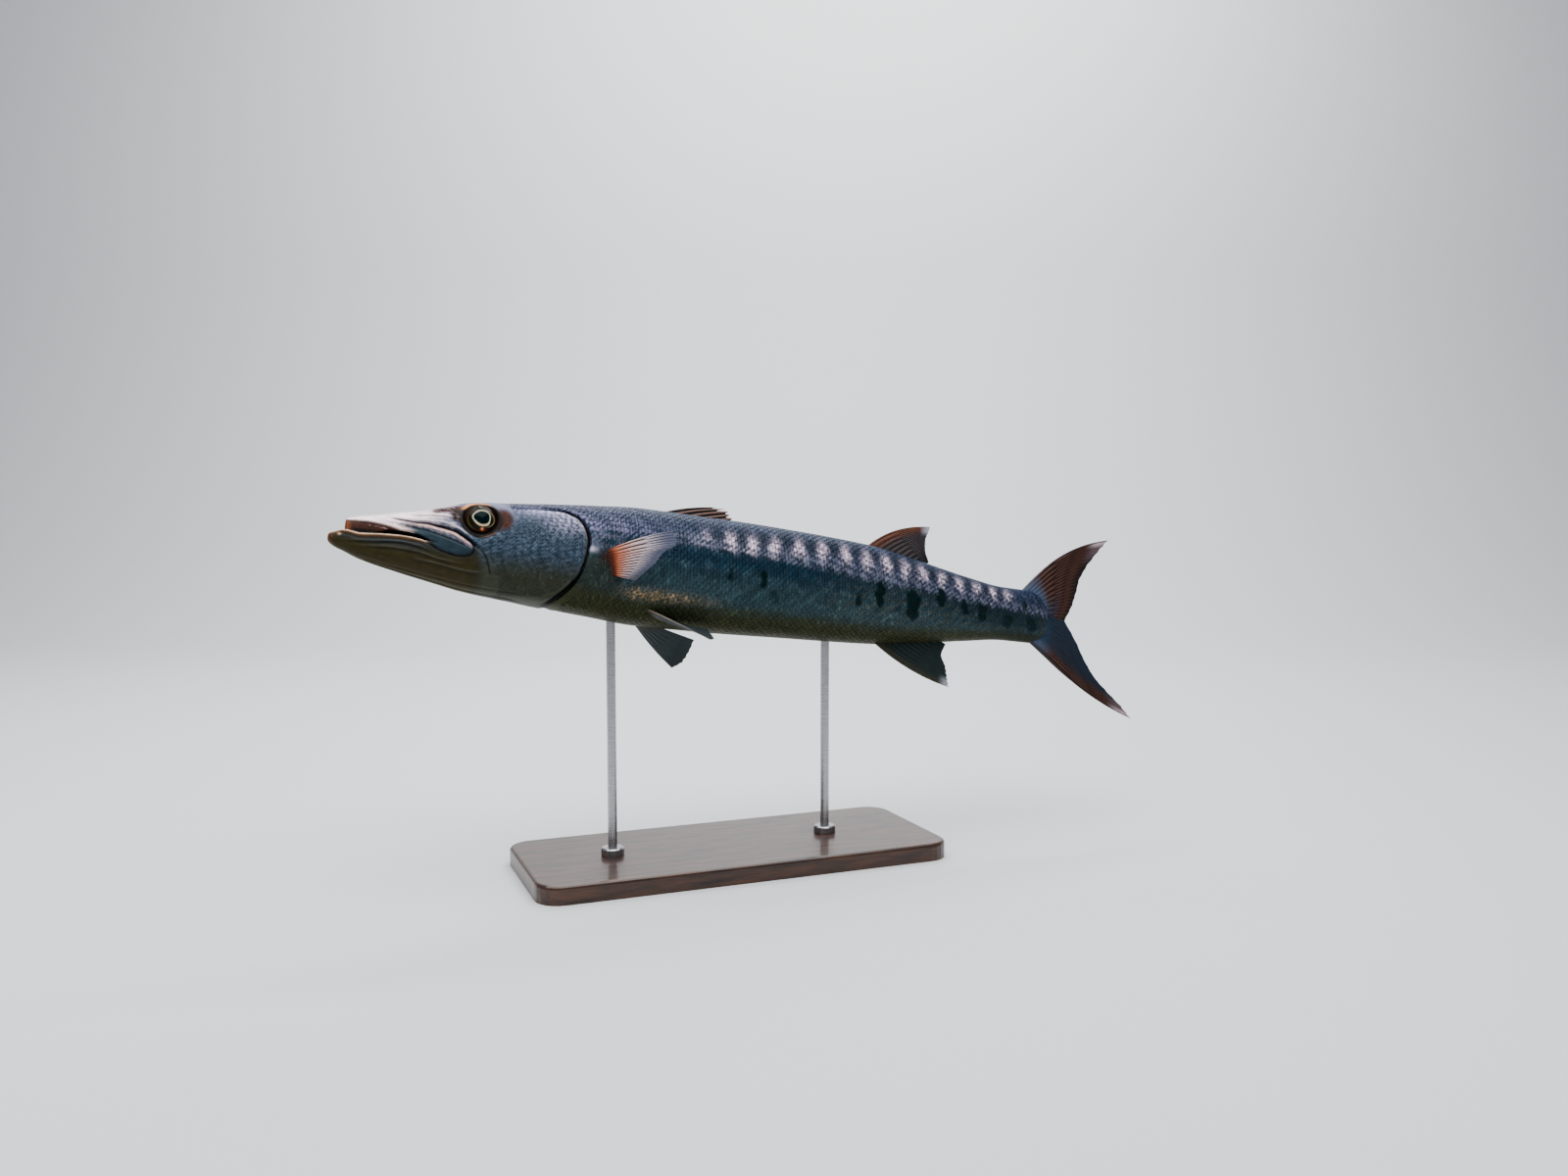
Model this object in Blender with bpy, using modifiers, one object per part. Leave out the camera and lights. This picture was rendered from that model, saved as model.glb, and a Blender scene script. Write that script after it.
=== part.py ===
"""A great barracuda at life size, as a still museum model on a plain display stand.

The fish is drawn in its own frame: x runs from the tip of the lower jaw to the tail, y to the
fish's right and z up.  Its lengths are shares of STANDARD_LENGTH.  One empty, fish_pose, carries
the fish and banks it over the stand.  The world's origin is the middle of the stand's underside.
"""
import math

import bmesh
import bpy
import numpy as np
from mathutils import Matrix, Vector

# Driving dimensions, in metres and degrees
STANDARD_LENGTH = 0.94        # lower jaw tip to the base of the tail fin
GAP = 0.0003                  # clearance between neighbouring nodes
NOSE_UP = 7.74
BELLY_TO_VIEWER = 20.65       # bank about the fish's long axis
MID_BODY_HEIGHT = 0.36        # fish axis above the floor at MID_BODY
MID_BODY = 0.45               # share of the standard length
BALANCE_POINT = 0.50          # share of the standard length that stands over the origin

# The end of the tail curves away from the viewer
TAIL_BEND = 12.0
BEND_START = 0.970
BEND_LENGTH = 0.030

# Stand, in metres
BASE_LENGTH = 0.52
BASE_DEPTH = 0.21
BASE_HEIGHT = 0.022
BASE_CORNER = 0.030
BASE_EDGE = 0.004
ROD_RADIUS = 0.0055
ROD_PLACES = {"stand_rod_front": -0.150, "stand_rod_rear": 0.130}
ROD_TOP_BELOW_AXIS = 0.048    # depth of a rod's top under the fish's axis
COLLAR_RADIUS = 0.014
COLLAR_HEIGHT = 0.009
ROD_ROUNDING = 0.0015
ROD_SIDES = 16
BORE_LENGTH = 0.12

# Body outline: (x, value) pairs in shares of the standard length
BACK = [(0.0145, 0.0100), (0.0175, 0.0145), (0.06, 0.026), (0.10, 0.035), (0.13, 0.044), (0.16, 0.0535),
        (0.20, 0.0585), (0.25, 0.0645), (0.31, 0.0715), (0.38, 0.077), (0.50, 0.0772), (0.60, 0.0752),
        (0.70, 0.0705), (0.78, 0.0575), (0.86, 0.043), (0.92, 0.0355), (0.968, 0.0355), (0.984, 0.030),
        (0.994, 0.021), (1.0, 0.008)]
BELLY = [(0.0, -0.0125), (0.007, -0.0180), (0.02, -0.0235), (0.04, -0.0315), (0.08, -0.041),
         (0.12, -0.049), (0.16, -0.0565), (0.22, -0.0625), (0.31, -0.0712), (0.38, -0.077),
         (0.46, -0.0768), (0.58, -0.0738), (0.70, -0.0705), (0.78, -0.0625), (0.86, -0.052),
         (0.92, -0.0455), (0.968, -0.0455), (0.984, -0.038), (0.994, -0.027), (1.0, -0.010)]
HALF_WIDTH = [(0.0, 0.0040), (0.004, 0.0080), (0.02, 0.0120), (0.05, 0.018), (0.10, 0.0245),
              (0.15, 0.0315), (0.20, 0.0395), (0.26, 0.0475), (0.31, 0.0515), (0.36, 0.054),
              (0.45, 0.056), (0.55, 0.055), (0.65, 0.050), (0.75, 0.042), (0.85, 0.031),
              (0.93, 0.0215), (0.968, 0.0165), (0.984, 0.0125), (0.994, 0.0080), (1.0, 0.0030)]
WIDEST_HEIGHT = [(0.0, -0.010), (0.05, -0.008), (0.12, -0.006), (0.20, -0.004), (0.30, 0.002), (1.0, 0.0)]
SQUARENESS = [(0.0, 2.1), (0.08, 2.5), (0.18, 2.6), (0.30, 2.3), (0.45, 2.2), (1.0, 2.1)]
JAW_TIP_TOP = [(0.0, -0.0085), (0.005, -0.0055), (0.0145, -0.0025), (0.016, 0.004), (0.0175, 0.0145)]

# Side-view lines where the body parts, as (x, z)
GILL_SLIT = [(0.236, 0.110), (0.247, 0.064), (0.268, 0.0455), (0.287, 0.036), (0.2955, 0.017),
             (0.2970, 0.002), (0.2925, -0.020), (0.282, -0.042), (0.260, -0.061), (0.232, -0.0725),
             (0.205, -0.110)]
UPPER_LIP = [(-0.02, 0.0065), (0.015, 0.0080), (0.033, 0.0095), (0.055, 0.0095), (0.085, 0.0060),
             (0.102, 0.0003), (0.115, -0.0067)]
LOWER_LIP = [(-0.02, -0.0125), (0.0, -0.0080), (0.0145, -0.0030), (0.036, -0.0050), (0.070, -0.0020),
             (0.086, -0.0019), (0.102, -0.0040), (0.115, -0.0070)]
JAW_JOINT = [(0.132, -0.0165), (0.148, -0.0245), (0.168, -0.0280), (0.185, -0.046), (0.196, -0.064),
             (0.200, -0.110)]
GILL_COVER_EDGE = [(0.330, 0.0470), (0.262, 0.0465), (0.235, 0.0435), (0.213, 0.036), (0.201, 0.022),
                   (0.1965, 0.003), (0.1965, -0.022), (0.203, -0.041), (0.214, -0.056), (0.235, -0.068),
                   (0.330, -0.080)]
GILL_COVER_INSIDE = 0.028     # half distance between the inner faces of the gill covers
TRUNK_CUT = 0.50
TAIL_CUT = 0.69

# Eyes, in metres
EYE_PLACE = (0.170, 0.0257)   # share of the standard length along the fish, and height
EYE_SIDE = 0.0215             # centre from the middle plane
EYE_RADII = (0.0195, 0.0140, 0.0195)
EYE_SEGMENTS = 18
EYE_RINGS = 10

# Mesh fineness: rings stand closer on the head and at the end of the tail
HEAD_RINGS = 22
HEAD_END = 0.30
HEAD_CROWDING = 1.15
TRUNK_RINGS = 22
TAIL_END_STATIONS = [0.968, 0.977, 0.984, 0.990, 0.995, 0.9985, 1.0]
RING_POINTS = 26
JAW_RINGS = 20
JAW_CROWDING = 1.6
JAW_BLANK_END = 0.204
THINNEST_HALF = 0.002         # least height above and below a section's widest line
CUTTER_REACH = 0.2            # a cutter's half length across the fish
SHARP_ANGLE = 40


def clear_scene():
    for item in list(bpy.data.objects):
        bpy.data.objects.remove(item)


def make_collections():
    model = bpy.data.collections.new("barracuda")
    cutters = bpy.data.collections.new("cutters")
    for collection in (model, cutters):
        bpy.context.scene.collection.children.link(collection)
    return model, cutters


def smooth_curve(points):
    """A cubic through (x, value) points that never overshoots them."""
    xs, values = np.array(points, float).T
    widths = np.diff(xs)
    slopes = np.diff(values) / widths
    tangents = np.concatenate([slopes[:1], np.zeros(len(xs) - 2), slopes[-1:]])
    same_sign = slopes[:-1] * slopes[1:] > 0
    total = np.where(same_sign, slopes[:-1] + slopes[1:], 1.0)
    tangents[1:-1] = np.where(same_sign, 2 * slopes[:-1] * slopes[1:] / total, 0.0)

    def value_at(x):
        x = np.clip(x, xs[0], xs[-1])
        i = np.clip(np.searchsorted(xs, x, side="right") - 1, 0, len(widths) - 1)
        t = (x - xs[i]) / widths[i]
        rise = tangents[i] * widths[i] * (t - 2 * t**2 + t**3)
        fall = tangents[i + 1] * widths[i] * (t**3 - t**2)
        return values[i] * (1 - 3 * t**2 + 2 * t**3) + values[i + 1] * (3 * t**2 - 2 * t**3) + rise + fall

    return value_at


back_at = smooth_curve(BACK)
belly_at = smooth_curve(BELLY)
half_width_at = smooth_curve(HALF_WIDTH)
widest_height_at = smooth_curve(WIDEST_HEIGHT)
squareness_at = smooth_curve(SQUARENESS)
jaw_tip_top_at = smooth_curve(JAW_TIP_TOP)


def bend_tail(points):
    """Curve points, in shares of the standard length, along the tail's arc."""
    x, y, z = np.moveaxis(points, -1, 0)
    full_turn = math.radians(TAIL_BEND)
    angle = full_turn * np.clip((x - BEND_START) / BEND_LENGTH, 0, 1)
    radius = BEND_LENGTH / full_turn
    beyond = np.maximum(x - BEND_START - BEND_LENGTH, 0)
    along = np.minimum(x, BEND_START) + radius * np.sin(angle) + beyond * np.cos(angle)
    across = radius * (1 - np.cos(angle)) + beyond * np.sin(angle)
    return np.stack([along - y * np.sin(angle), across + y * np.cos(angle), z], axis=-1)


def section(x, top, grow):
    """One closed ring of the body at x: an oval, squarer on the head, widest at its own height."""
    turn = np.linspace(0, 2 * np.pi, RING_POINTS, endpoint=False)
    power = 2 / squareness_at(x)
    across = np.sign(np.cos(turn)) * np.abs(np.cos(turn)) ** power
    up = np.sign(np.sin(turn)) * np.abs(np.sin(turn)) ** power
    middle = np.clip(widest_height_at(x), belly_at(x) + THINNEST_HALF, top - THINNEST_HALF)
    height = np.where(up > 0, top - middle, middle - belly_at(x)) + grow
    sideways = (half_width_at(x) + grow) * across
    return np.stack([np.full(RING_POINTS, x), sideways, middle + height * up], axis=-1)


def loft(rings):
    """A closed mesh through rings of equal point counts, capped at both ends."""
    count, around = rings.shape[:2]
    corners = np.arange(count * around).reshape(count, around)
    ahead = np.roll(corners, -1, axis=1)
    quads = np.stack([corners[:-1], ahead[:-1], ahead[1:], corners[1:]], axis=-1).reshape(-1, 4)
    faces = quads.tolist() + [corners[0][::-1].tolist(), corners[-1].tolist()]
    mesh = bpy.data.meshes.new("loft")
    mesh.from_pydata((rings.reshape(-1, 3) * STANDARD_LENGTH).tolist(), [], faces)
    solid = bmesh.new()
    solid.from_mesh(mesh)
    bmesh.ops.recalc_face_normals(solid, faces=solid.faces)
    solid.to_mesh(mesh)
    solid.free()
    return mesh


def body_mesh(grow=0.0):
    snout = BACK[0][0]
    head = snout + (HEAD_END - snout) * np.linspace(0, 1, HEAD_RINGS) ** HEAD_CROWDING
    trunk = np.linspace(HEAD_END, TAIL_END_STATIONS[0], TRUNK_RINGS)[1:-1]
    stations = np.concatenate([head, trunk, TAIL_END_STATIONS])
    rings = np.array([section(x, back_at(x), grow / STANDARD_LENGTH) for x in stations])
    return loft(bend_tail(rings))


def jaw_blank_mesh():
    """The fore part of the body with the tip of the lower jaw, which reaches ahead of the snout."""
    stations = JAW_BLANK_END * np.linspace(0, 1, JAW_RINGS) ** JAW_CROWDING
    last_tip = JAW_TIP_TOP[-1][0]
    rings = [section(x, jaw_tip_top_at(x) if x < last_tip else back_at(x), 0.0) for x in stations]
    return loft(np.array(rings))


def finish(name, colour, roughness, metallic=0.0):
    material = bpy.data.materials.new(name)
    material.use_nodes = True
    shader = material.node_tree.nodes["Principled BSDF"]
    shader.inputs["Base Color"].default_value = (*colour, 1.0)
    shader.inputs["Roughness"].default_value = roughness
    shader.inputs["Metallic"].default_value = metallic
    material.diffuse_color = (*colour, 1.0)
    return material


def add_node(name, mesh, material, parent=None):
    node = bpy.data.objects.new(name, mesh)
    MODEL.objects.link(node)
    node.parent = parent
    mesh.shade_smooth()
    mesh.set_sharp_from_angle(angle=math.radians(SHARP_ANGLE))
    mesh.materials.clear()
    mesh.materials.append(material)
    return node


def add_cutter(name, mesh, parent=None):
    cutter = bpy.data.objects.new(name, mesh)
    CUTTERS.objects.link(cutter)
    cutter.parent = parent
    cutter.hide_render = True
    cutter.display_type = "WIRE"
    return cutter


def carve(node, operation, *cutters):
    for cutter in cutters:
        step = node.modifiers.new(operation.lower() + " " + cutter.name, "BOOLEAN")
        step.operation = operation
        step.solver = "EXACT"
        step.object = cutter


def beside(line, distance):
    """A side-view line moved sideways, to the right of its own direction, by a distance in metres."""
    points = np.array(line, float)
    along = np.gradient(points, axis=0)
    along /= np.linalg.norm(along, axis=1)[:, None]
    right = np.stack([along[:, 1], -along[:, 0]], axis=1)
    return (points + right * distance / STANDARD_LENGTH).tolist()


def prism(name, outline, near=-CUTTER_REACH, far=CUTTER_REACH):
    """A cutter with a side-view outline, from y = near to y = far, in shares of the standard length."""
    solid = bmesh.new()
    corners = [solid.verts.new(Vector((x, near, z)) * STANDARD_LENGTH) for x, z in outline]
    face = solid.faces.new(corners)
    grown = bmesh.ops.extrude_face_region(solid, geom=[face])["geom"]
    moved = [item for item in grown if isinstance(item, bmesh.types.BMVert)]
    bmesh.ops.translate(solid, verts=moved, vec=(0, (far - near) * STANDARD_LENGTH, 0))
    bmesh.ops.recalc_face_normals(solid, faces=solid.faces)
    mesh = bpy.data.meshes.new(name)
    solid.to_mesh(mesh)
    solid.free()
    return add_cutter(name, mesh, FISH_POSE)


def add_fish_pose():
    """The empty that holds the fish, at the tip of its lower jaw."""
    pitch = math.radians(NOSE_UP)
    pose = bpy.data.objects.new("fish_pose", None)
    MODEL.objects.link(pose)
    pose.location = (-BALANCE_POINT * STANDARD_LENGTH * math.cos(pitch), 0,
                     MID_BODY_HEIGHT + MID_BODY * STANDARD_LENGTH * math.sin(pitch))
    pose.rotation_euler = (-math.radians(BELLY_TO_VIEWER), pitch, 0)
    return pose


def ellipsoid(radii):
    solid = bmesh.new()
    bmesh.ops.create_uvsphere(solid, u_segments=EYE_SEGMENTS, v_segments=EYE_RINGS, radius=1.0)
    bmesh.ops.rotate(solid, verts=solid.verts, matrix=Matrix.Rotation(math.radians(90), 3, "X"))
    bmesh.ops.scale(solid, verts=solid.verts, vec=radii)
    mesh = bpy.data.meshes.new("ellipsoid")
    solid.to_mesh(mesh)
    solid.free()
    return mesh


def add_eyes():
    """Two eyeballs, and the sockets that the head needs for them."""
    glassy = finish("eye", (0.62, 0.60, 0.42), 0.08)
    sockets = []
    for side, sign in (("left", -1), ("right", 1)):
        place = (EYE_PLACE[0] * STANDARD_LENGTH, sign * EYE_SIDE, EYE_PLACE[1] * STANDARD_LENGTH)
        eye = add_node("eye_" + side, ellipsoid(EYE_RADII), glassy, FISH_POSE)
        eye.location = place
        socket = add_cutter("socket_" + side, ellipsoid([r + 2 * GAP for r in EYE_RADII]), FISH_POSE)
        socket.location = place
        sockets.append(socket)
    return sockets


def add_head(body, sockets):
    """Head, lower jaw and gill covers, parted along the mouth, the jaw joint and the gill slits."""
    skull_skin = finish("head", (0.30, 0.33, 0.36), 0.38, 0.25)
    jaw_skin = finish("lower jaw", (0.42, 0.33, 0.22), 0.42)
    cover_skin = finish("gill cover", (0.36, 0.42, 0.47), 0.30, 0.35)
    below_head = beside(JAW_JOINT, -GAP)
    head_side = prism("head_side", [(-0.02, 0.110)] + GILL_SLIT + below_head[::-1] + UPPER_LIP[::-1])
    head = add_node("head", body.copy(), skull_skin, FISH_POSE)
    carve(head, "INTERSECT", head_side)

    jaw_side = prism("jaw_side", LOWER_LIP + JAW_JOINT + [(-0.02, JAW_JOINT[-1][1])])
    jaw = add_node("lower_jaw", jaw_blank_mesh(), jaw_skin, FISH_POSE)
    carve(jaw, "INTERSECT", jaw_side)

    pocket_inside = GILL_COVER_INSIDE - GAP / STANDARD_LENGTH
    for side, sign in (("left", -1), ("right", 1)):
        cover_span = sorted((sign * GILL_COVER_INSIDE, sign * CUTTER_REACH))
        pocket_span = sorted((sign * pocket_inside, sign * CUTTER_REACH))
        cover_side = prism("cover_side_" + side, GILL_COVER_EDGE, *cover_span)
        pocket = prism("cover_pocket_" + side, beside(GILL_COVER_EDGE, GAP), *pocket_span)
        cover = add_node("gill_cover_" + side, body.copy(), cover_skin, FISH_POSE)
        carve(cover, "INTERSECT", head_side, cover_side)
        carve(head, "DIFFERENCE", pocket)
    carve(head, "DIFFERENCE", *sockets)


def add_trunk(body, rod_sockets):
    """The trunk in two lengths and the tail stalk."""
    flank = finish("flank", (0.24, 0.29, 0.32), 0.36, 0.25)
    clearance = GAP / STANDARD_LENGTH
    behind_slit = beside(GILL_SLIT, -GAP)
    low, high = GILL_SLIT[-1][1], GILL_SLIT[0][1]
    lengths = [("trunk_front", behind_slit + [(TRUNK_CUT, low), (TRUNK_CUT, high)], rod_sockets[:1])]
    lengths += [(name, [(start, low), (end, low), (end, high), (start, high)], bores)
                for name, start, end, bores in (
                    ("trunk_rear", TRUNK_CUT + clearance, TAIL_CUT, rod_sockets[1:]),
                    ("tail_stalk", TAIL_CUT + clearance, 1.1, []))]
    for name, outline, bores in lengths:
        node = add_node(name, body.copy(), flank, FISH_POSE)
        carve(node, "INTERSECT", prism(name + "_side", outline))
        carve(node, "DIFFERENCE", *bores)


def path_through(points):
    """A polyline's position at v from 0 to 1, smoothed, with its points evenly spread over v."""
    places = np.array(points, float)
    steps = np.linspace(0, 1, len(places))
    curves = [smooth_curve(list(zip(steps, column))) for column in places.T]
    return lambda v: np.stack([curve(v) for curve in curves], axis=-1)


def fin_surface(roots, tips, u, v, bow, bulge):
    """Points at u from root to tip on ray v, from the leading ray at 0 to the last at 1.

    bow arches the leading ray forwards in the fin's own plane, and bulge hollows the fin's face.
    """
    root_at, tip_at = path_through(roots), path_through(tips)
    root, tip = root_at(v), tip_at(v)
    ray = tip - root
    spread = root_at(1.0) - root_at(0.0)
    face = np.cross(ray, spread)
    face /= np.linalg.norm(face, axis=1)[:, None]
    forwards = np.cross(face, ray)
    forwards *= -np.sign(forwards @ spread)[:, None] / np.linalg.norm(forwards, axis=1)[:, None]
    arch = (4 * u * (1 - u))[:, None]
    places = root + ray * u[:, None] + forwards * arch * (bow * (1 - v) ** 2)[:, None]
    return places + face * arch * (bulge * np.sin(np.pi * v))[:, None]


def add_fin(name, roots, tips, material, body_cutter, *, rays, steps, bow=0.0, bulge=0.0,
            root_thickness=0.004, edge_thickness=0.0009, bent=False):
    """A fin as a fan of rays between two lines, in shares, with its thickness in metres."""
    solid = bmesh.new()
    bmesh.ops.create_grid(solid, x_segments=rays - 1, y_segments=steps, size=0.5)
    v, u = np.array([(vert.co.x + 0.5, vert.co.y + 0.5) for vert in solid.verts]).T
    places = fin_surface(roots, tips, u, v, bow, bulge)
    if bent:
        places = bend_tail(places)
    for vert, place in zip(solid.verts, places):
        vert.co = Vector(place) * STANDARD_LENGTH
    mesh = bpy.data.meshes.new(name)
    solid.to_mesh(mesh)
    solid.free()

    fin = add_node(name, mesh, material, FISH_POSE)
    fade = fin.vertex_groups.new(name="thickness")
    for index, along in enumerate(u):
        fade.add([index], float((1 - along) ** 1.5), "REPLACE")
    sheet = fin.modifiers.new("thickness", "SOLIDIFY")
    sheet.thickness = root_thickness
    sheet.offset = 0.0
    sheet.vertex_group = fade.name
    sheet.thickness_vertex_group = edge_thickness / root_thickness
    carve(fin, "DIFFERENCE", body_cutter)
    return fin


def in_plane(points):
    """Side-view points put on the fish's middle plane."""
    return [(x, 0.0, z) for x, z in points]


def add_middle_fins(body_cutter):
    """Both dorsal fins, the anal fin and the two lobes of the tail fin."""
    spiny = finish("first dorsal fin", (0.20, 0.17, 0.15), 0.5)
    rusty = finish("second dorsal fin", (0.36, 0.22, 0.15), 0.5)
    olive = finish("anal fin", (0.28, 0.23, 0.16), 0.5)
    brown = finish("tail fin", (0.38, 0.23, 0.18), 0.5)
    add_fin("dorsal_fin_first", in_plane([(0.388, 0.071), (0.430, 0.071), (0.472, 0.071)]),
            in_plane([(0.4905, 0.0970), (0.498, 0.0955), (0.505, 0.0915), (0.5085, 0.0860),
                      (0.509, 0.0800)]),
            spiny, body_cutter, rays=7, steps=9, bow=0.005, root_thickness=0.005)
    add_fin("dorsal_fin_second", in_plane([(0.697, 0.062), (0.745, 0.057), (0.794, 0.048)]),
            in_plane([(0.8105, 0.1130), (0.8065, 0.104), (0.801, 0.092), (0.7995, 0.076),
                      (0.804, 0.059)]),
            rusty, body_cutter, rays=9, steps=9, bow=0.0118, root_thickness=0.007)
    add_fin("anal_fin", in_plane([(0.701, -0.060), (0.752, -0.058), (0.803, -0.050)]),
            in_plane([(0.8250, -0.1215), (0.8235, -0.108), (0.8215, -0.092), (0.816, -0.077),
                      (0.824, -0.060)]),
            olive, body_cutter, rays=9, steps=9, bow=0.0085, root_thickness=0.007)

    middle = -0.0007
    clearance = 0.5 * GAP / STANDARD_LENGTH
    upper_roots = [(0.953, 0.029), (0.970, 0.028), (0.983, 0.021), (0.988, 0.011),
                   (0.989, middle + clearance)]
    upper_tips = [(1.1557, 0.1495), (1.1322, 0.127), (1.1015, 0.097), (1.0805, 0.071), (1.0690, 0.047),
                  (1.0570, 0.024), (1.0385, middle + clearance)]
    lower_roots = [(0.957, -0.037), (0.972, -0.034), (0.983, -0.025), (0.988, -0.013),
                   (0.989, middle - clearance)]
    lower_tips = [(1.1680, -0.1345), (1.1486, -0.119), (1.1189, -0.099), (1.0945, -0.081), (1.0775, -0.061),
                  (1.0600, -0.031), (1.0385, middle - clearance)]
    for name, roots, tips, bow in (("caudal_fin_upper", upper_roots, upper_tips, 0.0165),
                                   ("caudal_fin_lower", lower_roots, lower_tips, 0.0145)):
        add_fin(name, in_plane(roots), in_plane(tips), brown, body_cutter, rays=10, steps=11, bow=bow,
                root_thickness=0.014, edge_thickness=0.0010, bent=True)


def add_paired_fins(body_cutter):
    """The flared pectoral fins and the spread pelvic fins, with their mirror images."""
    coral = finish("pectoral fin", (0.62, 0.40, 0.30), 0.45)
    olive = finish("pelvic fin", (0.30, 0.25, 0.19), 0.5)
    flare = math.radians(38)
    root_place = np.array([0.332, 0.054, -0.0125])
    rearward = np.array([math.cos(flare), math.sin(flare), 0.0])

    def on_pectoral(rear, up):
        """A point of the fin's plane, which leans back with the shoulder."""
        shoulder = np.array([-0.38, 0.0, 0.92])
        upward = shoulder - rearward * (shoulder @ rearward)
        upward /= np.linalg.norm(upward)
        return root_place + rearward * rear + upward * up

    pectoral_roots = [on_pectoral(-0.021, 0.0085), on_pectoral(-0.012, -0.008), on_pectoral(-0.006, -0.0195)]
    pectoral_tips = [on_pectoral(*place) for place in (
        (0.0765, 0.0270), (0.0795, 0.0105), (0.0625, 0.0020), (0.0515, -0.0090),
        (0.0376, -0.0190), (0.0235, -0.0290))]
    pelvic_roots = [(0.379, 0.0285, -0.064), (0.389, 0.021, -0.068), (0.398, 0.014, -0.070)]
    pelvic_tips = [(0.4478, 0.0736, -0.1096), (0.4575, 0.0600, -0.1035), (0.4610, 0.0440, -0.0940),
                   (0.4620, 0.0260, -0.0820)]
    for side, sign in (("left", -1), ("right", 1)):
        flip = np.array([1, sign, 1])
        add_fin("pectoral_fin_" + side, [p * flip for p in pectoral_roots], [p * flip for p in pectoral_tips],
                coral, body_cutter, rays=9, steps=8, bow=0.004, bulge=sign * 0.003, root_thickness=0.006)
        add_fin("pelvic_fin_" + side, [np.array(p) * flip for p in pelvic_roots],
                [np.array(p) * flip for p in pelvic_tips],
                olive, body_cutter, rays=7, steps=7, bow=0.004, bulge=sign * 0.002, root_thickness=0.006)


def rod_top(x):
    """World height of a rod's top, a fixed depth under the fish's axis."""
    axis = FISH_POSE.location.z - (x - FISH_POSE.location.x) * math.tan(math.radians(NOSE_UP))
    return axis - ROD_TOP_BELOW_AXIS


def turned(name, profile):
    """A profile of (radius, height) points, top to bottom on its outer side, turned about z."""
    mesh = bpy.data.meshes.new(name)
    edges = [(i, i + 1) for i in range(len(profile) - 1)]
    mesh.from_pydata([(radius, 0, height) for radius, height in profile], edges, [])
    node = add_node(name, mesh, finish(name, (0.58, 0.58, 0.57), 0.32, 0.9))
    screw = node.modifiers.new("turn", "SCREW")
    screw.steps = ROD_SIDES
    screw.render_steps = ROD_SIDES
    screw.use_merge_vertices = True
    screw.merge_threshold = 0.00001
    return node


def add_stand():
    """A flat base and two upright rods, each on a small collar, and the bores for their tops."""
    plate = bmesh.new()
    bmesh.ops.create_cube(plate, size=1.0)
    bmesh.ops.scale(plate, verts=plate.verts, vec=(BASE_LENGTH, BASE_DEPTH, BASE_HEIGHT))
    bmesh.ops.translate(plate, verts=plate.verts, vec=(0, 0, BASE_HEIGHT / 2))
    uprights = [edge for edge in plate.edges
                if abs(edge.verts[0].co.z - edge.verts[1].co.z) > BASE_HEIGHT / 2]
    bmesh.ops.bevel(plate, geom=uprights, offset=BASE_CORNER, segments=6, profile=0.5, affect="EDGES")
    rim = [edge for edge in plate.edges if all(vert.co.z > BASE_HEIGHT * 0.99 for vert in edge.verts)]
    bmesh.ops.bevel(plate, geom=rim, offset=BASE_EDGE, segments=3, profile=0.5, affect="EDGES")
    mesh = bpy.data.meshes.new("stand_base")
    plate.to_mesh(mesh)
    plate.free()
    add_node("stand_base", mesh, finish("stand_base", (0.10, 0.065, 0.045), 0.4))

    bores = []
    foot = BASE_HEIGHT + GAP
    collar_top = foot + COLLAR_HEIGHT
    for name, x in ROD_PLACES.items():
        top = rod_top(x)
        rod = turned(name, [(0, top), (ROD_RADIUS - ROD_ROUNDING, top), (ROD_RADIUS, top - ROD_ROUNDING),
                            (ROD_RADIUS, collar_top), (COLLAR_RADIUS - ROD_ROUNDING, collar_top),
                            (COLLAR_RADIUS, collar_top - ROD_ROUNDING), (COLLAR_RADIUS, foot), (0, foot)])
        rod.location.x = x
        hole = bmesh.new()
        bore_radius = ROD_RADIUS + 2 * GAP
        bmesh.ops.create_cone(hole, cap_ends=True, segments=ROD_SIDES, radius1=bore_radius,
                              radius2=bore_radius, depth=BORE_LENGTH)
        bore_mesh = bpy.data.meshes.new(name + "_bore")
        hole.to_mesh(bore_mesh)
        hole.free()
        bore = add_cutter(name + "_bore", bore_mesh)
        bore.location = (x, 0, top + GAP - BORE_LENGTH / 2)
        bores.append(bore)
    return bores


def main():
    body = body_mesh()
    body_cutter = add_cutter("body_with_clearance", body_mesh(grow=GAP), FISH_POSE)
    sockets = add_eyes()
    add_head(body, sockets)
    add_trunk(body, add_stand())
    add_middle_fins(body_cutter)
    add_paired_fins(body_cutter)


clear_scene()
MODEL, CUTTERS = make_collections()
FISH_POSE = add_fish_pose()
main()
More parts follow.
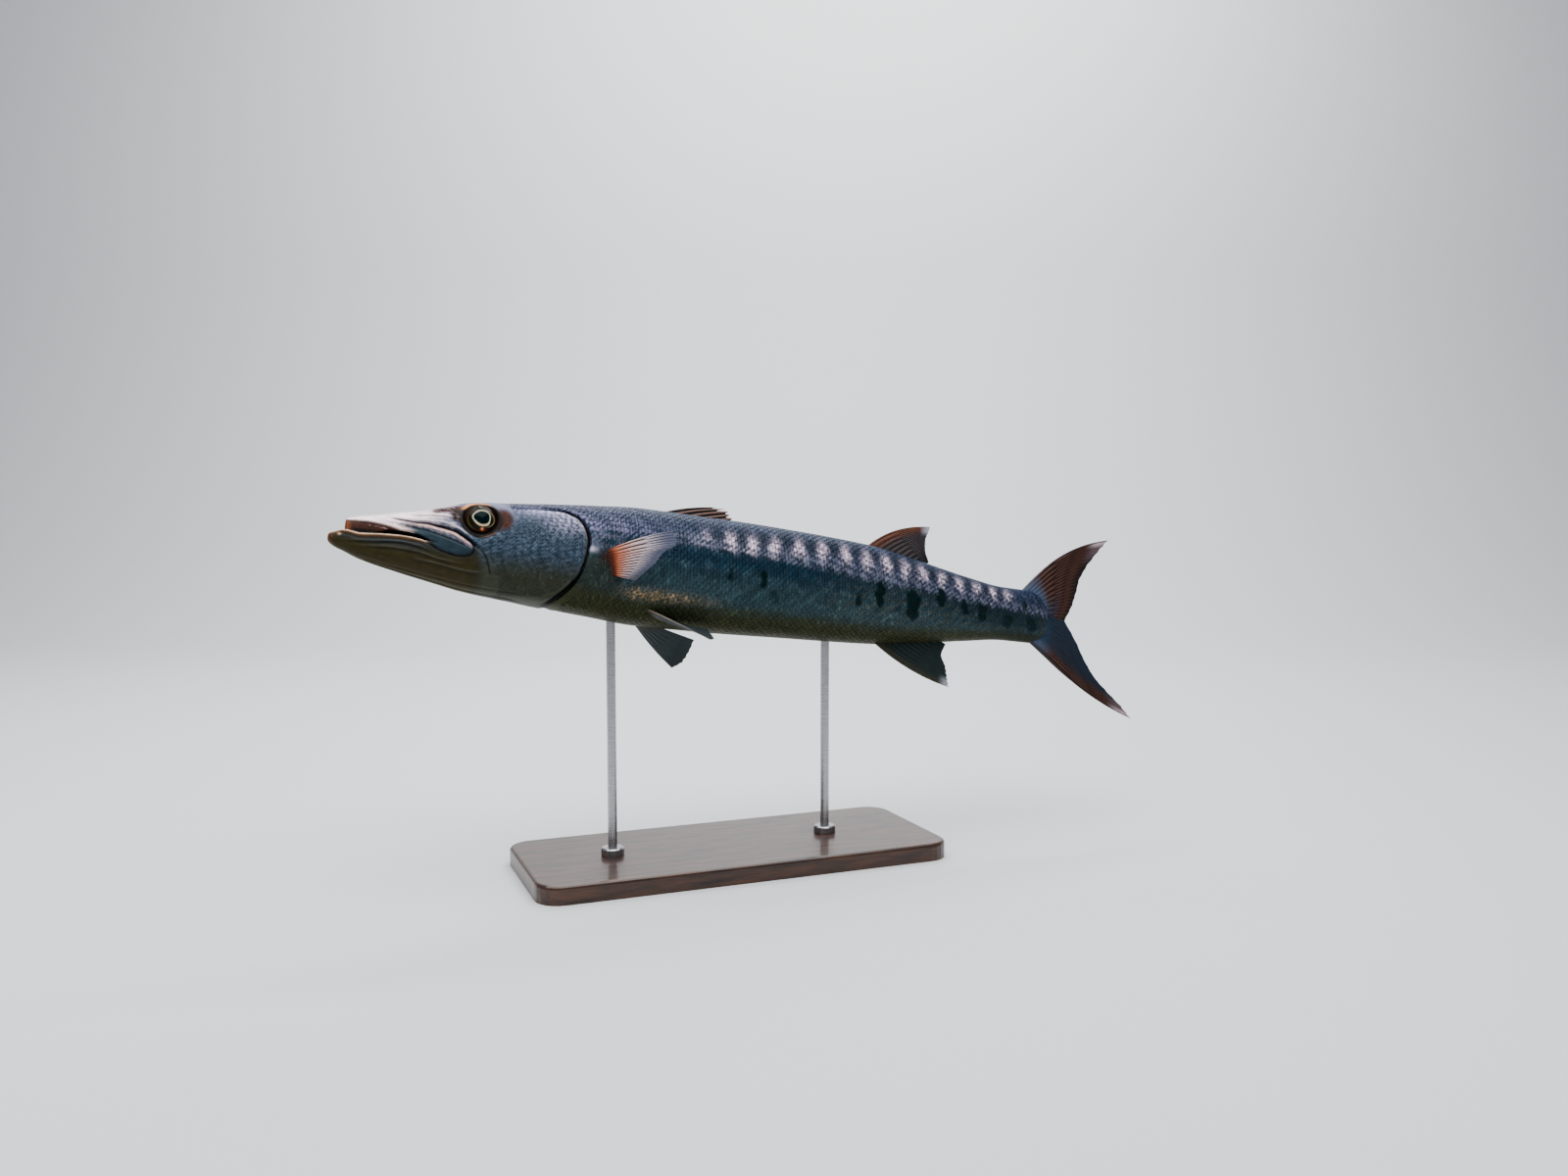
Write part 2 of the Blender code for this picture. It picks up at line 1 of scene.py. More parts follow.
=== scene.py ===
"""The look of the life-size great barracuda: skin, scales, fins, eyes, stand and studio.

Shapes are worked out in the fish's own frame: x runs from the tip of the lower jaw to the tail,
y to the fish's right and z up, in shares of STANDARD_LENGTH.  FISH carries them into the world.
"""
import math
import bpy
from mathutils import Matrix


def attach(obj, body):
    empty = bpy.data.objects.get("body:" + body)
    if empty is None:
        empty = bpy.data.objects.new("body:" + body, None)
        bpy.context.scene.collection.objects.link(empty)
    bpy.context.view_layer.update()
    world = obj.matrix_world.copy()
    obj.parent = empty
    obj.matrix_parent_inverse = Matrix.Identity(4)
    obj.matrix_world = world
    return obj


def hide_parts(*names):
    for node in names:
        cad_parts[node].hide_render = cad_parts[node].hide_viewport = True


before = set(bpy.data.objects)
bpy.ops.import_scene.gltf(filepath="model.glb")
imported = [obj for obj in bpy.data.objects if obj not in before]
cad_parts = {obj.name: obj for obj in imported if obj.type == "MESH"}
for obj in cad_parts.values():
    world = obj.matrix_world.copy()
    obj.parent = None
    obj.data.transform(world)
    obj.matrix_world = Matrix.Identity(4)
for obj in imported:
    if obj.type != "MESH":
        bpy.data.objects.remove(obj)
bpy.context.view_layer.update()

from types import SimpleNamespace

import bpy
import numpy as np
import openvdb
from mathutils import Euler, Matrix, Vector

# The frame's own dimensions, as in the solids
STANDARD_LENGTH = 0.94
NOSE_UP = 7.74
BELLY_TO_VIEWER = 20.65
MID_BODY_HEIGHT = 0.36
MID_BODY = 0.45
BALANCE_POINT = 0.50
TAIL_BEND = 12.0
BEND_START = 0.970
BEND_LENGTH = 0.030
MM = 0.001 / STANDARD_LENGTH

BACK = [(0.0145, 0.0120), (0.0185, 0.0172), (0.06, 0.0268), (0.10, 0.035), (0.13, 0.044), (0.16, 0.0535),
        (0.20, 0.0585), (0.25, 0.0645), (0.31, 0.0715), (0.38, 0.077), (0.50, 0.0772), (0.60, 0.0752),
        (0.70, 0.0705), (0.78, 0.0575), (0.86, 0.043), (0.92, 0.0355), (0.968, 0.0355), (0.984, 0.030),
        (0.994, 0.021), (1.0, 0.008)]
BELLY = [(0.0, -0.0125), (0.007, -0.0180), (0.02, -0.0235), (0.04, -0.0315), (0.08, -0.041),
         (0.12, -0.049), (0.16, -0.0565), (0.22, -0.0625), (0.31, -0.0712), (0.38, -0.077),
         (0.46, -0.0768), (0.58, -0.0738), (0.70, -0.0705), (0.78, -0.0625), (0.86, -0.052),
         (0.92, -0.0455), (0.968, -0.0455), (0.984, -0.038), (0.994, -0.027), (1.0, -0.010)]
HALF_WIDTH = [(0.0, 0.0040), (0.004, 0.0080), (0.02, 0.0120), (0.05, 0.018), (0.10, 0.0245),
              (0.15, 0.0315), (0.20, 0.0395), (0.26, 0.0475), (0.31, 0.0515), (0.36, 0.054),
              (0.45, 0.056), (0.55, 0.055), (0.65, 0.050), (0.75, 0.042), (0.85, 0.031),
              (0.93, 0.0215), (0.968, 0.0165), (0.984, 0.0125), (0.994, 0.0080), (1.0, 0.0030)]
WIDEST_HEIGHT = [(0.0, -0.010), (0.05, -0.008), (0.12, -0.006), (0.20, -0.004), (0.30, 0.002), (1.0, 0.0)]
SQUARENESS = [(0.0, 2.1), (0.08, 2.5), (0.18, 2.6), (0.30, 2.3), (0.45, 2.2), (1.0, 2.1)]
EYE_PLACE = (0.170, 0.0257)
EYE_SIDE = 21.5 * MM
EYE_RADII = (19.5 * MM, 14.0 * MM, 19.5 * MM)

# Side-view lines of the head, front to back
UPPER_LIP = [(-0.02, 0.0125), (0.0165, 0.0128), (0.033, 0.0124), (0.045, 0.0114), (0.066, 0.0072),
             (0.081, 0.0026), (0.0965, 0.0001), (0.1015, -0.0018), (0.1145, -0.0076), (0.122, -0.0108)]
LOWER_LIP = [(-0.02, -0.0050), (0.0, -0.0034), (0.0075, -0.0013), (0.0145, 0.0006), (0.0225, -0.0010),
             (0.0365, -0.0038), (0.059, -0.0029), (0.077, -0.0029), (0.089, -0.0038), (0.102, -0.0058),
             (0.1145, -0.0084), (0.122, -0.0108)]
MAXILLA_TOP = [(0.062, 0.0185), (0.083, 0.0156), (0.0955, 0.0143), (0.107, 0.0138), (0.121, 0.0110),
               (0.139, 0.0068), (0.149, 0.0010), (0.159, -0.0060), (0.168, -0.0130), (0.175, -0.0180)]
MAXILLA_REAR = [(0.168, -0.0130), (0.175, -0.0190), (0.179, -0.0270), (0.182, -0.0360), (0.185, -0.0450)]
MAXILLA_EDGE = [(0.104, -0.0050), (0.114, -0.0110), (0.122, -0.0160), (0.134, -0.0200), (0.147, -0.0225),
                (0.156, -0.0215), (0.1615, -0.0175), (0.1625, -0.0120), (0.1595, -0.0065)]
MAXILLA_MID = [(0.074, 0.0110), (0.088, 0.0085), (0.102, 0.0062), (0.118, 0.0020), (0.133, -0.0030),
               (0.148, -0.0090), (0.1585, -0.0145)]
GILL_EDGE = [(0.226, 0.0440), (0.240, 0.0455), (0.262, 0.0460), (0.277, 0.0415), (0.287, 0.0345),
             (0.2935, 0.0230), (0.2965, 0.0090), (0.2955, -0.0060), (0.2925, -0.0190), (0.288, -0.0320),
             (0.279, -0.0450), (0.266, -0.0570), (0.250, -0.0660), (0.228, -0.0730), (0.205, -0.0760)]
PREOPERCLE = [(0.199, 0.0300), (0.198, 0.0100), (0.1965, -0.0120), (0.198, -0.0300), (0.206, -0.0460),
              (0.222, -0.0580)]
BROW_RIDGE = [(0.075, 0.0255), (0.095, 0.0270), (0.115, 0.0285), (0.135, 0.0270), (0.148, 0.0225)]
CHEEK_LINE = [(0.085, 0.0175), (0.105, 0.0190), (0.125, 0.0180), (0.142, 0.0130), (0.158, 0.0035)]
JAW_RIDGES = [[(0.012, -0.0110), (0.040, -0.0125), (0.075, -0.0105), (0.100, -0.0140), (0.125, -0.0230)],
              [(0.030, -0.0185), (0.065, -0.0180), (0.095, -0.0205), (0.130, -0.0290), (0.160, -0.0330)],
              [(0.085, -0.0275), (0.120, -0.0330), (0.160, -0.0400), (0.195, -0.0420)]]
INNER_LIP = [(-0.02, -0.0022), (0.0165, -0.0022), (0.030, -0.0040), (0.046, -0.0042), (0.056, -0.0012),
             (0.068, 0.0024), (0.081, 0.0018), (0.0965, -0.0004), (0.1145, -0.0078), (0.122, -0.0110)]
NOSTRILS = [(0.1265, 0.0355), (0.1365, 0.0370)]
LATERAL_LINE = [(0.285, 0.0350), (0.308, 0.0255), (0.355, 0.0230), (0.409, 0.0212), (0.454, 0.0180),
                (0.509, 0.0154), (0.564, 0.0134), (0.618, 0.0115), (0.650, 0.0080), (0.690, 0.0040),
                (0.750, 0.0020), (0.800, 0.0), (0.853, -0.0030), (0.900, -0.0042), (1.0, -0.0045)]

# Places of the pale patches above the lateral line, their height over it as a share of the way to
# the back, and the dark blotches below it as (x, z, half width, half height, strength)
PATCHES = [0.4477, 0.4831, 0.5131, 0.5453, 0.5808, 0.6160, 0.6509, 0.6841, 0.7143, 0.7446, 0.7733, 0.8050,
           0.8352, 0.8645, 0.8937, 0.9196]
PATCH_HEIGHT = [(0.44, 0.22), (0.50, 0.25), (0.58, 0.36), (0.65, 0.45), (0.80, 0.47), (0.92, 0.54)]
BLOTCHES = [(0.4815, -0.0144, 0.0036, 0.0088, 0.9), (0.5274, -0.0150, 0.0048, 0.0118, 1.0),
            (0.5435, -0.0361, 0.0053, 0.0080, 0.45), (0.6670, -0.0257, 0.0048, 0.0075, 0.85),
            (0.6998, -0.0138, 0.0074, 0.0180, 1.0), (0.7282, -0.0300, 0.0062, 0.0045, 0.4),
            (0.7533, -0.0206, 0.0096, 0.0220, 1.0), (0.8000, -0.0050, 0.0080, 0.0135, 1.0),
            (0.8407, -0.0120, 0.0054, 0.0115, 0.95), (0.8709, -0.0160, 0.0079, 0.0125, 0.9),
            (0.9163, -0.0234, 0.0085, 0.0090, 0.75), (0.9600, -0.0225, 0.0090, 0.0100, 0.7),
            (0.9490, 0.0050, 0.0045, 0.0085, 0.85)]


def smooth_curve(points):
    """A cubic through (x, value) points that never overshoots them."""
    xs, values = np.array(points, float).T
    widths = np.diff(xs)
    slopes = np.diff(values) / widths
    tangents = np.concatenate([slopes[:1], np.zeros(len(xs) - 2), slopes[-1:]])
    same_sign = slopes[:-1] * slopes[1:] > 0
    total = np.where(same_sign, slopes[:-1] + slopes[1:], 1.0)
    tangents[1:-1] = np.where(same_sign, 2 * slopes[:-1] * slopes[1:] / total, 0.0)

    def value_at(x):
        x = np.clip(x, xs[0], xs[-1])
        i = np.clip(np.searchsorted(xs, x, side="right") - 1, 0, len(widths) - 1)
        t = (x - xs[i]) / widths[i]
        rise = tangents[i] * widths[i] * (t - 2 * t**2 + t**3)
        fall = tangents[i + 1] * widths[i] * (t**3 - t**2)
        return values[i] * (1 - 3 * t**2 + 2 * t**3) + values[i + 1] * (3 * t**2 - 2 * t**3) + rise + fall

    return value_at


def path_through(points):
    """A polyline's position at v from 0 to 1, smoothed, with its points evenly spread over v."""
    places = np.array(points, float)
    steps = np.linspace(0, 1, len(places))
    curves = [smooth_curve(list(zip(steps, column))) for column in places.T]
    return lambda v: np.stack([curve(v) for curve in curves], axis=-1)


back_at = smooth_curve(BACK)
belly_at = smooth_curve(BELLY)
half_width_at = smooth_curve(HALF_WIDTH)
widest_height_at = smooth_curve(WIDEST_HEIGHT)
squareness_at = smooth_curve(SQUARENESS)
lateral_line_at = smooth_curve(LATERAL_LINE)
upper_lip_at = smooth_curve(UPPER_LIP)
lower_lip_at = smooth_curve(LOWER_LIP)
inner_lip_at = smooth_curve(INNER_LIP)
patch_height_at = smooth_curve(PATCH_HEIGHT)

# Width and depth of the opening behind the gill cover, in millimetres, by share of its edge
slit_width_at = smooth_curve([(0, 0.2), (0.12, 0.6), (0.24, 2.4), (0.36, 2.8), (0.50, 1.4), (0.60, 3.0),
                              (0.72, 3.4), (0.84, 1.2), (1, 0.3)])
slit_depth_at = smooth_curve([(0, 0), (0.12, 1.6), (0.25, 6.0), (0.36, 6.5), (0.50, 4.0), (0.62, 5.0),
                              (0.74, 2.4), (0.88, 0.6), (1, 0)])


def ramp(value, low, high):
    """0 below low, 1 above high, and smooth between them."""
    t = np.clip((value - low) / (high - low), 0, 1)
    return t * t * (3 - 2 * t)


def hump(value, middle, width):
    """1 at the middle, fading to 0 at about twice the width from it."""
    return np.exp(-((value - middle) / width) ** 2)


def window(value, low, high, end, fade):
    """A ramp from low to high that fades out again over the last stretch before its end."""
    return ramp(value, low, high) * ramp(end - value, 0, fade)


def cloud(points, size, seed, waves=7):
    """Soft irregular values about 0 to 1, varying over the given size."""
    rng = np.random.default_rng(seed)
    total = np.zeros(points.shape[:-1])
    for _ in range(waves):
        direction = rng.normal(size=3)
        direction *= rng.uniform(0.6, 1.7) / (size * np.linalg.norm(direction))
        total += np.sin(2 * np.pi * (points @ direction) + rng.uniform(0, 2 * np.pi))
    return np.clip(0.5 + total / (1.9 * math.sqrt(2 * waves)), 0, 1)


def flowing(x, across, stretch, size, seed):
    """Soft irregular streaks that run along x and vary over the given size across it."""
    x, across = np.broadcast_arrays(x, across)
    return cloud(np.stack([stretch * x, 0 * x, across], axis=-1), size, seed)


def near(line, x, z):
    """Signed distance to a side-view line, positive on its left going front to back, and the
    share of the line's length at the nearest point."""
    points = path_through(line)(np.linspace(0, 1, 6 * len(line)))
    starts, steps = points[:-1], np.diff(points, axis=0)
    lengths = np.linalg.norm(steps, axis=1)
    travelled = np.concatenate([[0], np.cumsum(lengths)])
    best = np.full(np.shape(x), 1e9)
    share = np.zeros(np.shape(x))
    for i, (start, step) in enumerate(zip(starts, steps)):
        along = np.clip(((x - start[0]) * step[0] + (z - start[1]) * step[1]) / lengths[i] ** 2, 0, 1)
        dx, dz = x - start[0] - along * step[0], z - start[1] - along * step[1]
        distance = np.hypot(dx, dz)
        side = np.where(step[0] * dz - step[1] * dx >= 0, 1.0, -1.0)
        closer = distance < np.abs(best)
        best = np.where(closer, distance * side, best)
        share = np.where(closer, (travelled[i] + along * lengths[i]) / travelled[-1], share)
    return best, share


def bend_tail(points):
    """Curve points, in shares of the standard length, along the tail's arc."""
    x, y, z = np.moveaxis(points, -1, 0)
    full_turn = math.radians(TAIL_BEND)
    angle = full_turn * np.clip((x - BEND_START) / BEND_LENGTH, 0, 1)
    radius = BEND_LENGTH / full_turn
    beyond = np.maximum(x - BEND_START - BEND_LENGTH, 0)
    along = np.minimum(x, BEND_START) + radius * np.sin(angle) + beyond * np.cos(angle)
    across = radius * (1 - np.cos(angle)) + beyond * np.sin(angle)
    return np.stack([along - y * np.sin(angle), across + y * np.cos(angle), z], axis=-1)


def fish_matrix():
    pitch = math.radians(NOSE_UP)
    place = Vector((-BALANCE_POINT * STANDARD_LENGTH * math.cos(pitch), 0,
                    MID_BODY_HEIGHT + MID_BODY * STANDARD_LENGTH * math.sin(pitch)))
    turn = Euler((-math.radians(BELLY_TO_VIEWER), pitch, 0)).to_matrix().to_4x4()
    return Matrix.Translation(place) @ turn


FISH = fish_matrix()


# Head relief

def head_fields(x, z):
    """Distances from a side-view point to the head's lines, shared by relief and colour."""
    f = {"upper_lip": upper_lip_at(x) - z, "lower_lip": lower_lip_at(x) - z}
    for name, line in (("maxilla_top", MAXILLA_TOP), ("maxilla_rear", MAXILLA_REAR),
                       ("maxilla_edge", MAXILLA_EDGE), ("maxilla_mid", MAXILLA_MID),
                       ("gill", GILL_EDGE), ("preopercle", PREOPERCLE), ("brow", BROW_RIDGE),
                       ("cheek", CHEEK_LINE)):
        f[name], f[name + "_share"] = near(line, x, z)
    f["ridges"] = [near(line, x, z) for line in JAW_RIDGES]
    f["eye"] = np.hypot(x - EYE_PLACE[0], z - EYE_PLACE[1])
    f["maxilla"] = maxilla_mask(x, f)
    return f


def maxilla_mask(x, f):
    """1 on the plate of the upper jaw that ends in a rounded lobe under the cheek."""
    under_top = ramp(-f["maxilla_top"], -0.3 * MM, 0.9 * MM)
    over_edge = ramp(f["maxilla_edge"], -0.3 * MM, 0.9 * MM)
    before_corner = ramp(0.104 - x, -0.002, 0.002)
    over_lip = ramp(-f["upper_lip"], 0, 1.0 * MM)
    lobe = np.maximum(over_edge, before_corner * over_lip)
    return under_top * lobe * window(x, 0.066, 0.090, 0.1665, 1.5 * MM)


def ends(share, fade=0.12):
    """1 along a line, fading out towards its ends."""
    return ramp(share, 0, fade) * ramp(1 - share, 0, fade)


def stroke(f, name, place, width, fade=0.12):
    """1 along one of the head's lines, at a place beside it and over a width in millimetres."""
    return hump(f[name], place * MM, width * MM) * ends(f[name + "_share"], fade)


def lip_relief(x, f):
    """The rolled edges of both lips and the grooves behind them, in millimetres."""
    over, under = -f["upper_lip"], f["lower_lip"]
    relief = 1.1 * hump(over, 1.6 * MM, 2.0 * MM)
    relief -= 0.7 * hump(over, 5.0 * MM, 1.3 * MM) * ramp(x, 0.02, 0.04)
    relief += hump(under, 1.8 * MM, 1.9 * MM) - hump(under, 5.0 * MM, 1.4 * MM)
    relief *= ramp(0.112 - x, 0, 0.02)
    return relief - 1.5 * ramp(-over, 0.0, 0.9 * MM) * ramp(0.098 - x, 0, 0.03) * (under < 0)


def plate_relief(x, f):
    """The jaw plate, its slit, and the ridges of brow, cheek and jaws, in millimetres."""
    relief = f["maxilla"] * (0.9 + 1.5 * ramp(x, 0.105, 0.150))
    slit = 0.9 + 1.2 * ramp(x, 0.10, 0.140)
    for height, *line in ((-2.4, "maxilla_top", 0.8, slit), (0.8, "maxilla_top", 3.6, 1.8),
                          (-1.1, "maxilla_rear", 0.3, 0.9, 0.45), (-1.1, "maxilla_mid", 0, 1.0),
                          (-1.3, "maxilla_edge", -0.9, 1.2, 0.06), (1.1, "brow", 0, 1.8, 0.3),
                          (-0.9, "brow", -3.4, 1.5, 0.3), (0.7, "cheek", 0, 1.5, 0.3),
                          (-0.7, "cheek", -2.7, 1.2, 0.3), (-0.45, "preopercle", 0, 1.8, 0.4),
                          (0.45, "preopercle", 4.5, 3.4, 0.4)):
        relief += height * stroke(f, *line)
    for distance, share in f["ridges"]:
        crest = hump(distance, 0, 1.8 * MM) - hump(distance, -3.4 * MM, 1.8 * MM)
        relief += 0.42 * crest * ends(share, 0.25)
    return relief


def gill_relief(f):
    """The swollen rim of the gill cover and the opening behind it, in millimetres."""
    gill, share = f["gill"], f["gill_share"]
    width = slit_width_at(share) * MM
    cover = ramp(gill, -24 * MM, -1.5 * MM) * (1 - ramp(gill, -1.0 * MM, 0.4 * MM))
    opening = ramp(gill, -0.2 * MM, 1.0 * MM) * (1 - ramp(gill, width, width + 2.5 * MM))
    behind = hump(gill, width + 5.0 * MM, 3.0 * MM)
    return 1.3 * cover * ends(share, 0.15) - slit_depth_at(share) * opening + 0.7 * behind * ends(share, 0.3)


def side_relief(x, z):
    """Height of the head's relief over the plain body, from the side, in shares."""
    f = head_fields(x, z)
    relief = lip_relief(x, f) + plate_relief(x, f) + gill_relief(f)
    relief -= 4.2 * (1 - ramp(f["eye"], 16.0 * MM, 20.5 * MM))
    lid = 0.15 + 0.95 * ramp(z - EYE_PLACE[1], 0, 14 * MM)
    relief += lid * hump(f["eye"], 21.3 * MM, 1.2 * MM) - 0.4 * hump(f["eye"], 24.0 * MM, 1.3 * MM)
    flow = flowing(x, f["maxilla_top"], 0.06, 0.0030, 71)
    wrinkled = window(x, 0.055, 0.09, 0.160, 0.02) * ramp(f["maxilla_top"], 1 * MM, 4 * MM)
    relief += 0.55 * (flow - 0.5) * wrinkled * ramp(f["eye"], 22 * MM, 27 * MM)
    for place in NOSTRILS:
        relief -= 2.2 * hump(np.hypot(x - place[0], z - place[1]), 0, 1.3 * MM)
    return relief * MM


def crown_relief(x, y):
    """Low ridges along the roof of the head, and the furrow between them."""
    reach = window(x, 0.05, 0.09, 0.215, 0.04)
    spread = 6.5 * MM + 0.035 * np.clip(x - 0.05, 0, None)
    return reach * (0.9 * MM * hump(np.abs(y), spread, 2.0 * MM) - 0.9 * MM * hump(y, 0, 3.0 * MM))


def throat_relief(x, y):
    """The furrow between the halves of the lower jaw, and the folds beside it."""
    reach = window(x, 0.02, 0.05, 0.235, 0.03)
    spread = 4.0 * MM + 0.075 * np.clip(x - 0.03, 0, None)
    return reach * (-1.6 * MM * hump(y, 0, 1.6 * MM) - 1.2 * MM * hump(np.abs(y), spread, 1.3 * MM))


def coat_depth(x):
    """How far the skin lies inside the solids: little where it is bare, more under the scales."""
    return (0.25 + 0.85 * ramp(x, 0.15, 0.33)) * MM


# Colours, as display values from 0 to 255

def colour(red, green, blue):
    share = np.array([red, green, blue]) / 255
    return np.where(share <= 0.04045, share / 12.92, ((share + 0.055) / 1.055) ** 2.4)


def tint(base, mask, new):
    """Mix a colour into others by a mask from 0 to 1."""
    return base + (new - base) * np.clip(mask, 0, 1)[..., None]


def layered(base, *layers):
    """Colours mixed over a base in turn, each given as its mask, red, green and blue."""
    for mask, *display in layers:
        base = tint(base, mask, colour(*display))
    return base


def trunk_places(points):
    """Where points lie on the trunk, and the noises that its markings share."""
    x, _, z = np.moveaxis(points, -1, 0)
    line, top, bottom = lateral_line_at(x), back_at(x), belly_at(x)
    p = SimpleNamespace(points=points, x=x, z=z)
    p.above = (z - line) / (top - line)
    p.below = (line - z) / (line - bottom)
    p.grain = cloud(points, 0.0046, 3)
    p.mottle = cloud(points, 0.012, 9)
    p.broad = cloud(points, 0.06, 5)
    p.ragged = x + 0.005 * (cloud(points, 0.014, 8) - 0.5)
    p.ragged_above = p.above + 0.16 * (p.grain - 0.5)
    return p


def back_paint(p):
    """The back: pale in front, then dark bars with pale patches between them, flecked with painted highlight
    glints.
    """
    x, above, grain = p.x, p.above, p.grain
    pale_front = (1 - ramp(x, 0.32, 0.43)) * (0.35 + 0.65 * ramp(0.5 - above, 0, 0.3))
    middle = patch_height_at(x)
    patch = sum(hump(p.ragged, place + 0.008 * (above - middle), 0.0070) for place in PATCHES)
    bar = (1 - np.clip(1.2 * patch, 0, 1)) * hump(above, middle + 0.14, 0.26)
    bar *= window(x, 0.42, 0.47, 0.935, 0.02)
    low_band = ramp(0.42 - p.ragged_above, 0, 0.25) * ramp(x, 0.38, 0.44)
    # pale patches between the bars; their near-white flecks are painted highlight glints on the scales
    pale_patch_and_glints = np.clip(patch, 0, 1) * hump(p.ragged_above, middle, 0.19) * ramp(x, 0.43, 0.475)
    return layered(
        colour(38, 52, 72),
        (p.broad, 50, 62, 84),
        (0.75 * ramp(grain, 0.45, 0.85), 96, 102, 126),
        (0.75 * pale_front * ramp(grain, 0.25, 0.75), 140, 136, 166),
        (bar * (0.6 + 0.4 * p.mottle), 30, 45, 62),
        (0.5 * ramp(above, 0.50, 0.90) * ramp(x, 0.34, 0.46), 38, 58, 90),
        (0.75 * low_band * ramp(grain, 0.15, 0.7) * (1 - 0.6 * bar), 126, 128, 146),
        (pale_patch_and_glints * (0.30 + 0.95 * ramp(grain, 0.2, 0.8)), 246, 226, 242))


def flank_paint(p):
    """The flank, dark partly in its own colour and partly as painted shade under light from above, greyer at
    the shoulder and the tail, with golden painted highlight glints over an olive belly of painted shade.
    """
    x, below, grain = p.x, p.below, p.grain
    shoulder = ramp(0.350 - x, 0, 0.02)
    gold_glints = hump(below, 0.735, 0.070) * window(x, 0.330, 0.365, 0.50, 0.12)
    flecks = cloud(p.points * [1.7, 1, 1], 0.0040, 27)
    streaked = cloud(p.points * [1.5, 0.4, 0.4], 0.0036, 6)
    return layered(
        # the dark teal base: partly the flank's own colour, partly painted shade for light falling from above
        colour(30, 55, 70),
        (0.5 * p.broad, 36, 62, 78),
        (0.85 * ramp(x, 0.60, 0.72), 45, 63, 71),
        (ramp(below, 0.18, 0.52), 55, 76, 82),
        (0.5 * ramp(grain, 0.5, 0.9) * ramp(below, 0.1, 0.3), 84, 106, 114),
        (0.85 * shoulder * ramp(below, 0.28, 0.50), 58, 66, 60),
        (0.55 * shoulder * ramp(0.36 - below, 0, 0.2) * ramp(grain, 0.2, 0.7), 128, 126, 148),
        # golden flecks: painted highlight glints on the scales
        (0.95 * gold_glints * ramp(flecks, 0.40, 0.65), 190, 158, 116),
        (0.5 * hump(below, 0.45, 0.34) * ramp(x, 0.58, 0.68) * ramp(streaked, 0.35, 0.85), 98, 98, 88),
        # olive belly: painted shade for the underside in shadow
        (ramp(below + 0.10 * (grain - 0.5), 0.68, 0.88), 59, 63, 40),
        (0.4 * ramp(below, 0.90, 1.0), 60, 58, 40),
        (0.6 * ramp(x, 0.76, 0.92) * ramp(0.75 - below, 0, 0.3), 27, 45, 53),
        (0.5 * ramp(x, 0.84, 0.95) * ramp(below, 0.5, 0.8), 38, 46, 42))


def trunk_paint(points):
    """Colour and silver share of the trunk: saddled back, flank darkened partly with painted shade, olive
    belly of painted shade.
    """
    p = trunk_places(points)
    # the step from the pale back to the dark flank at the lateral line is partly painted shade
    paint = tint(flank_paint(p), ramp(p.ragged_above, -0.10, 0.06), back_paint(p))
    paint = layered(paint, (0.5 * hump(p.above, 0.0, 0.016) * ramp(p.x, 0.34, 0.40), 20, 30, 42))
    for x, z, width, height, strength in BLOTCHES:
        spot = ((p.ragged - x) / width) ** 2 + ((p.z - z) / height) ** 2
        paint = layered(paint, (strength * ramp(1.35 - spot, 0, 0.6), 12, 38, 40))
    silver = 0.25 * ramp(p.above, -0.05, 0.1) + 0.25 * ramp(1 - p.below, 0.1, 0.6) * (p.above < 0)
    return paint, silver


def head_places(points):
    """Where points lie on the head, the noises its markings share, and the masks of its regions."""
    x, y, z = np.moveaxis(points, -1, 0)
    f, top, bottom = head_fields(x, z), back_at(x), belly_at(x)
    h = SimpleNamespace(x=x, y=y, z=z, f=f, high=(z - bottom) / (top - bottom))
    h.mottle = cloud(points, 0.006, 13)
    h.fine = cloud(points * [0.4, 1, 1], 0.0035, 14)
    h.broad = cloud(points, 0.035, 15)
    h.flecks = cloud(points * [0.45, 1, 1], 0.0021, 17)
    h.drawn_out = cloud(points * [0.16, 1, 1], 0.0034, 19)
    # the lower part of the head, painted olive as shade for the underside
    h.low = ramp(0.34 - h.high, -0.10, 0.20)
    h.jaw = ramp(f["lower_lip"], -0.2 * MM, 0.8 * MM) * ramp(0.180 - x, 0, 0.02)
    h.jaw *= np.where(x < MOUTH_CORNER, 1, ramp(-f["maxilla_edge"], -0.2 * MM, 0.6 * MM))
    h.around_eye = ramp(25.0 * MM - f["eye"], 0, 3 * MM)
    h.behind_eye = ramp(0.0155 - np.hypot(x - 0.1955, 0.8 * (z - 0.0275)), 0, 0.008)
    # masks of the mouth's inside and of the gill opening, which are painted dark as shade
    inside = (inner_lip_at(x) - z > -0.2 * MM) & (f["lower_lip"] < 0.2 * MM)
    deep = (np.abs(y) < half_width_at(x) - 2.2 * MM) | (x > 0.045)
    h.mouth = 1.0 * (inside & deep & (x < 0.118) & (x > 0.0185))
    h.opening = ramp(f["gill"], 0.0, 0.5 * MM) * ramp(f["gill_share"], 0.02, 0.12)
    h.opening *= 1 - ramp(f["gill_share"], 0.74, 0.88)
    return h


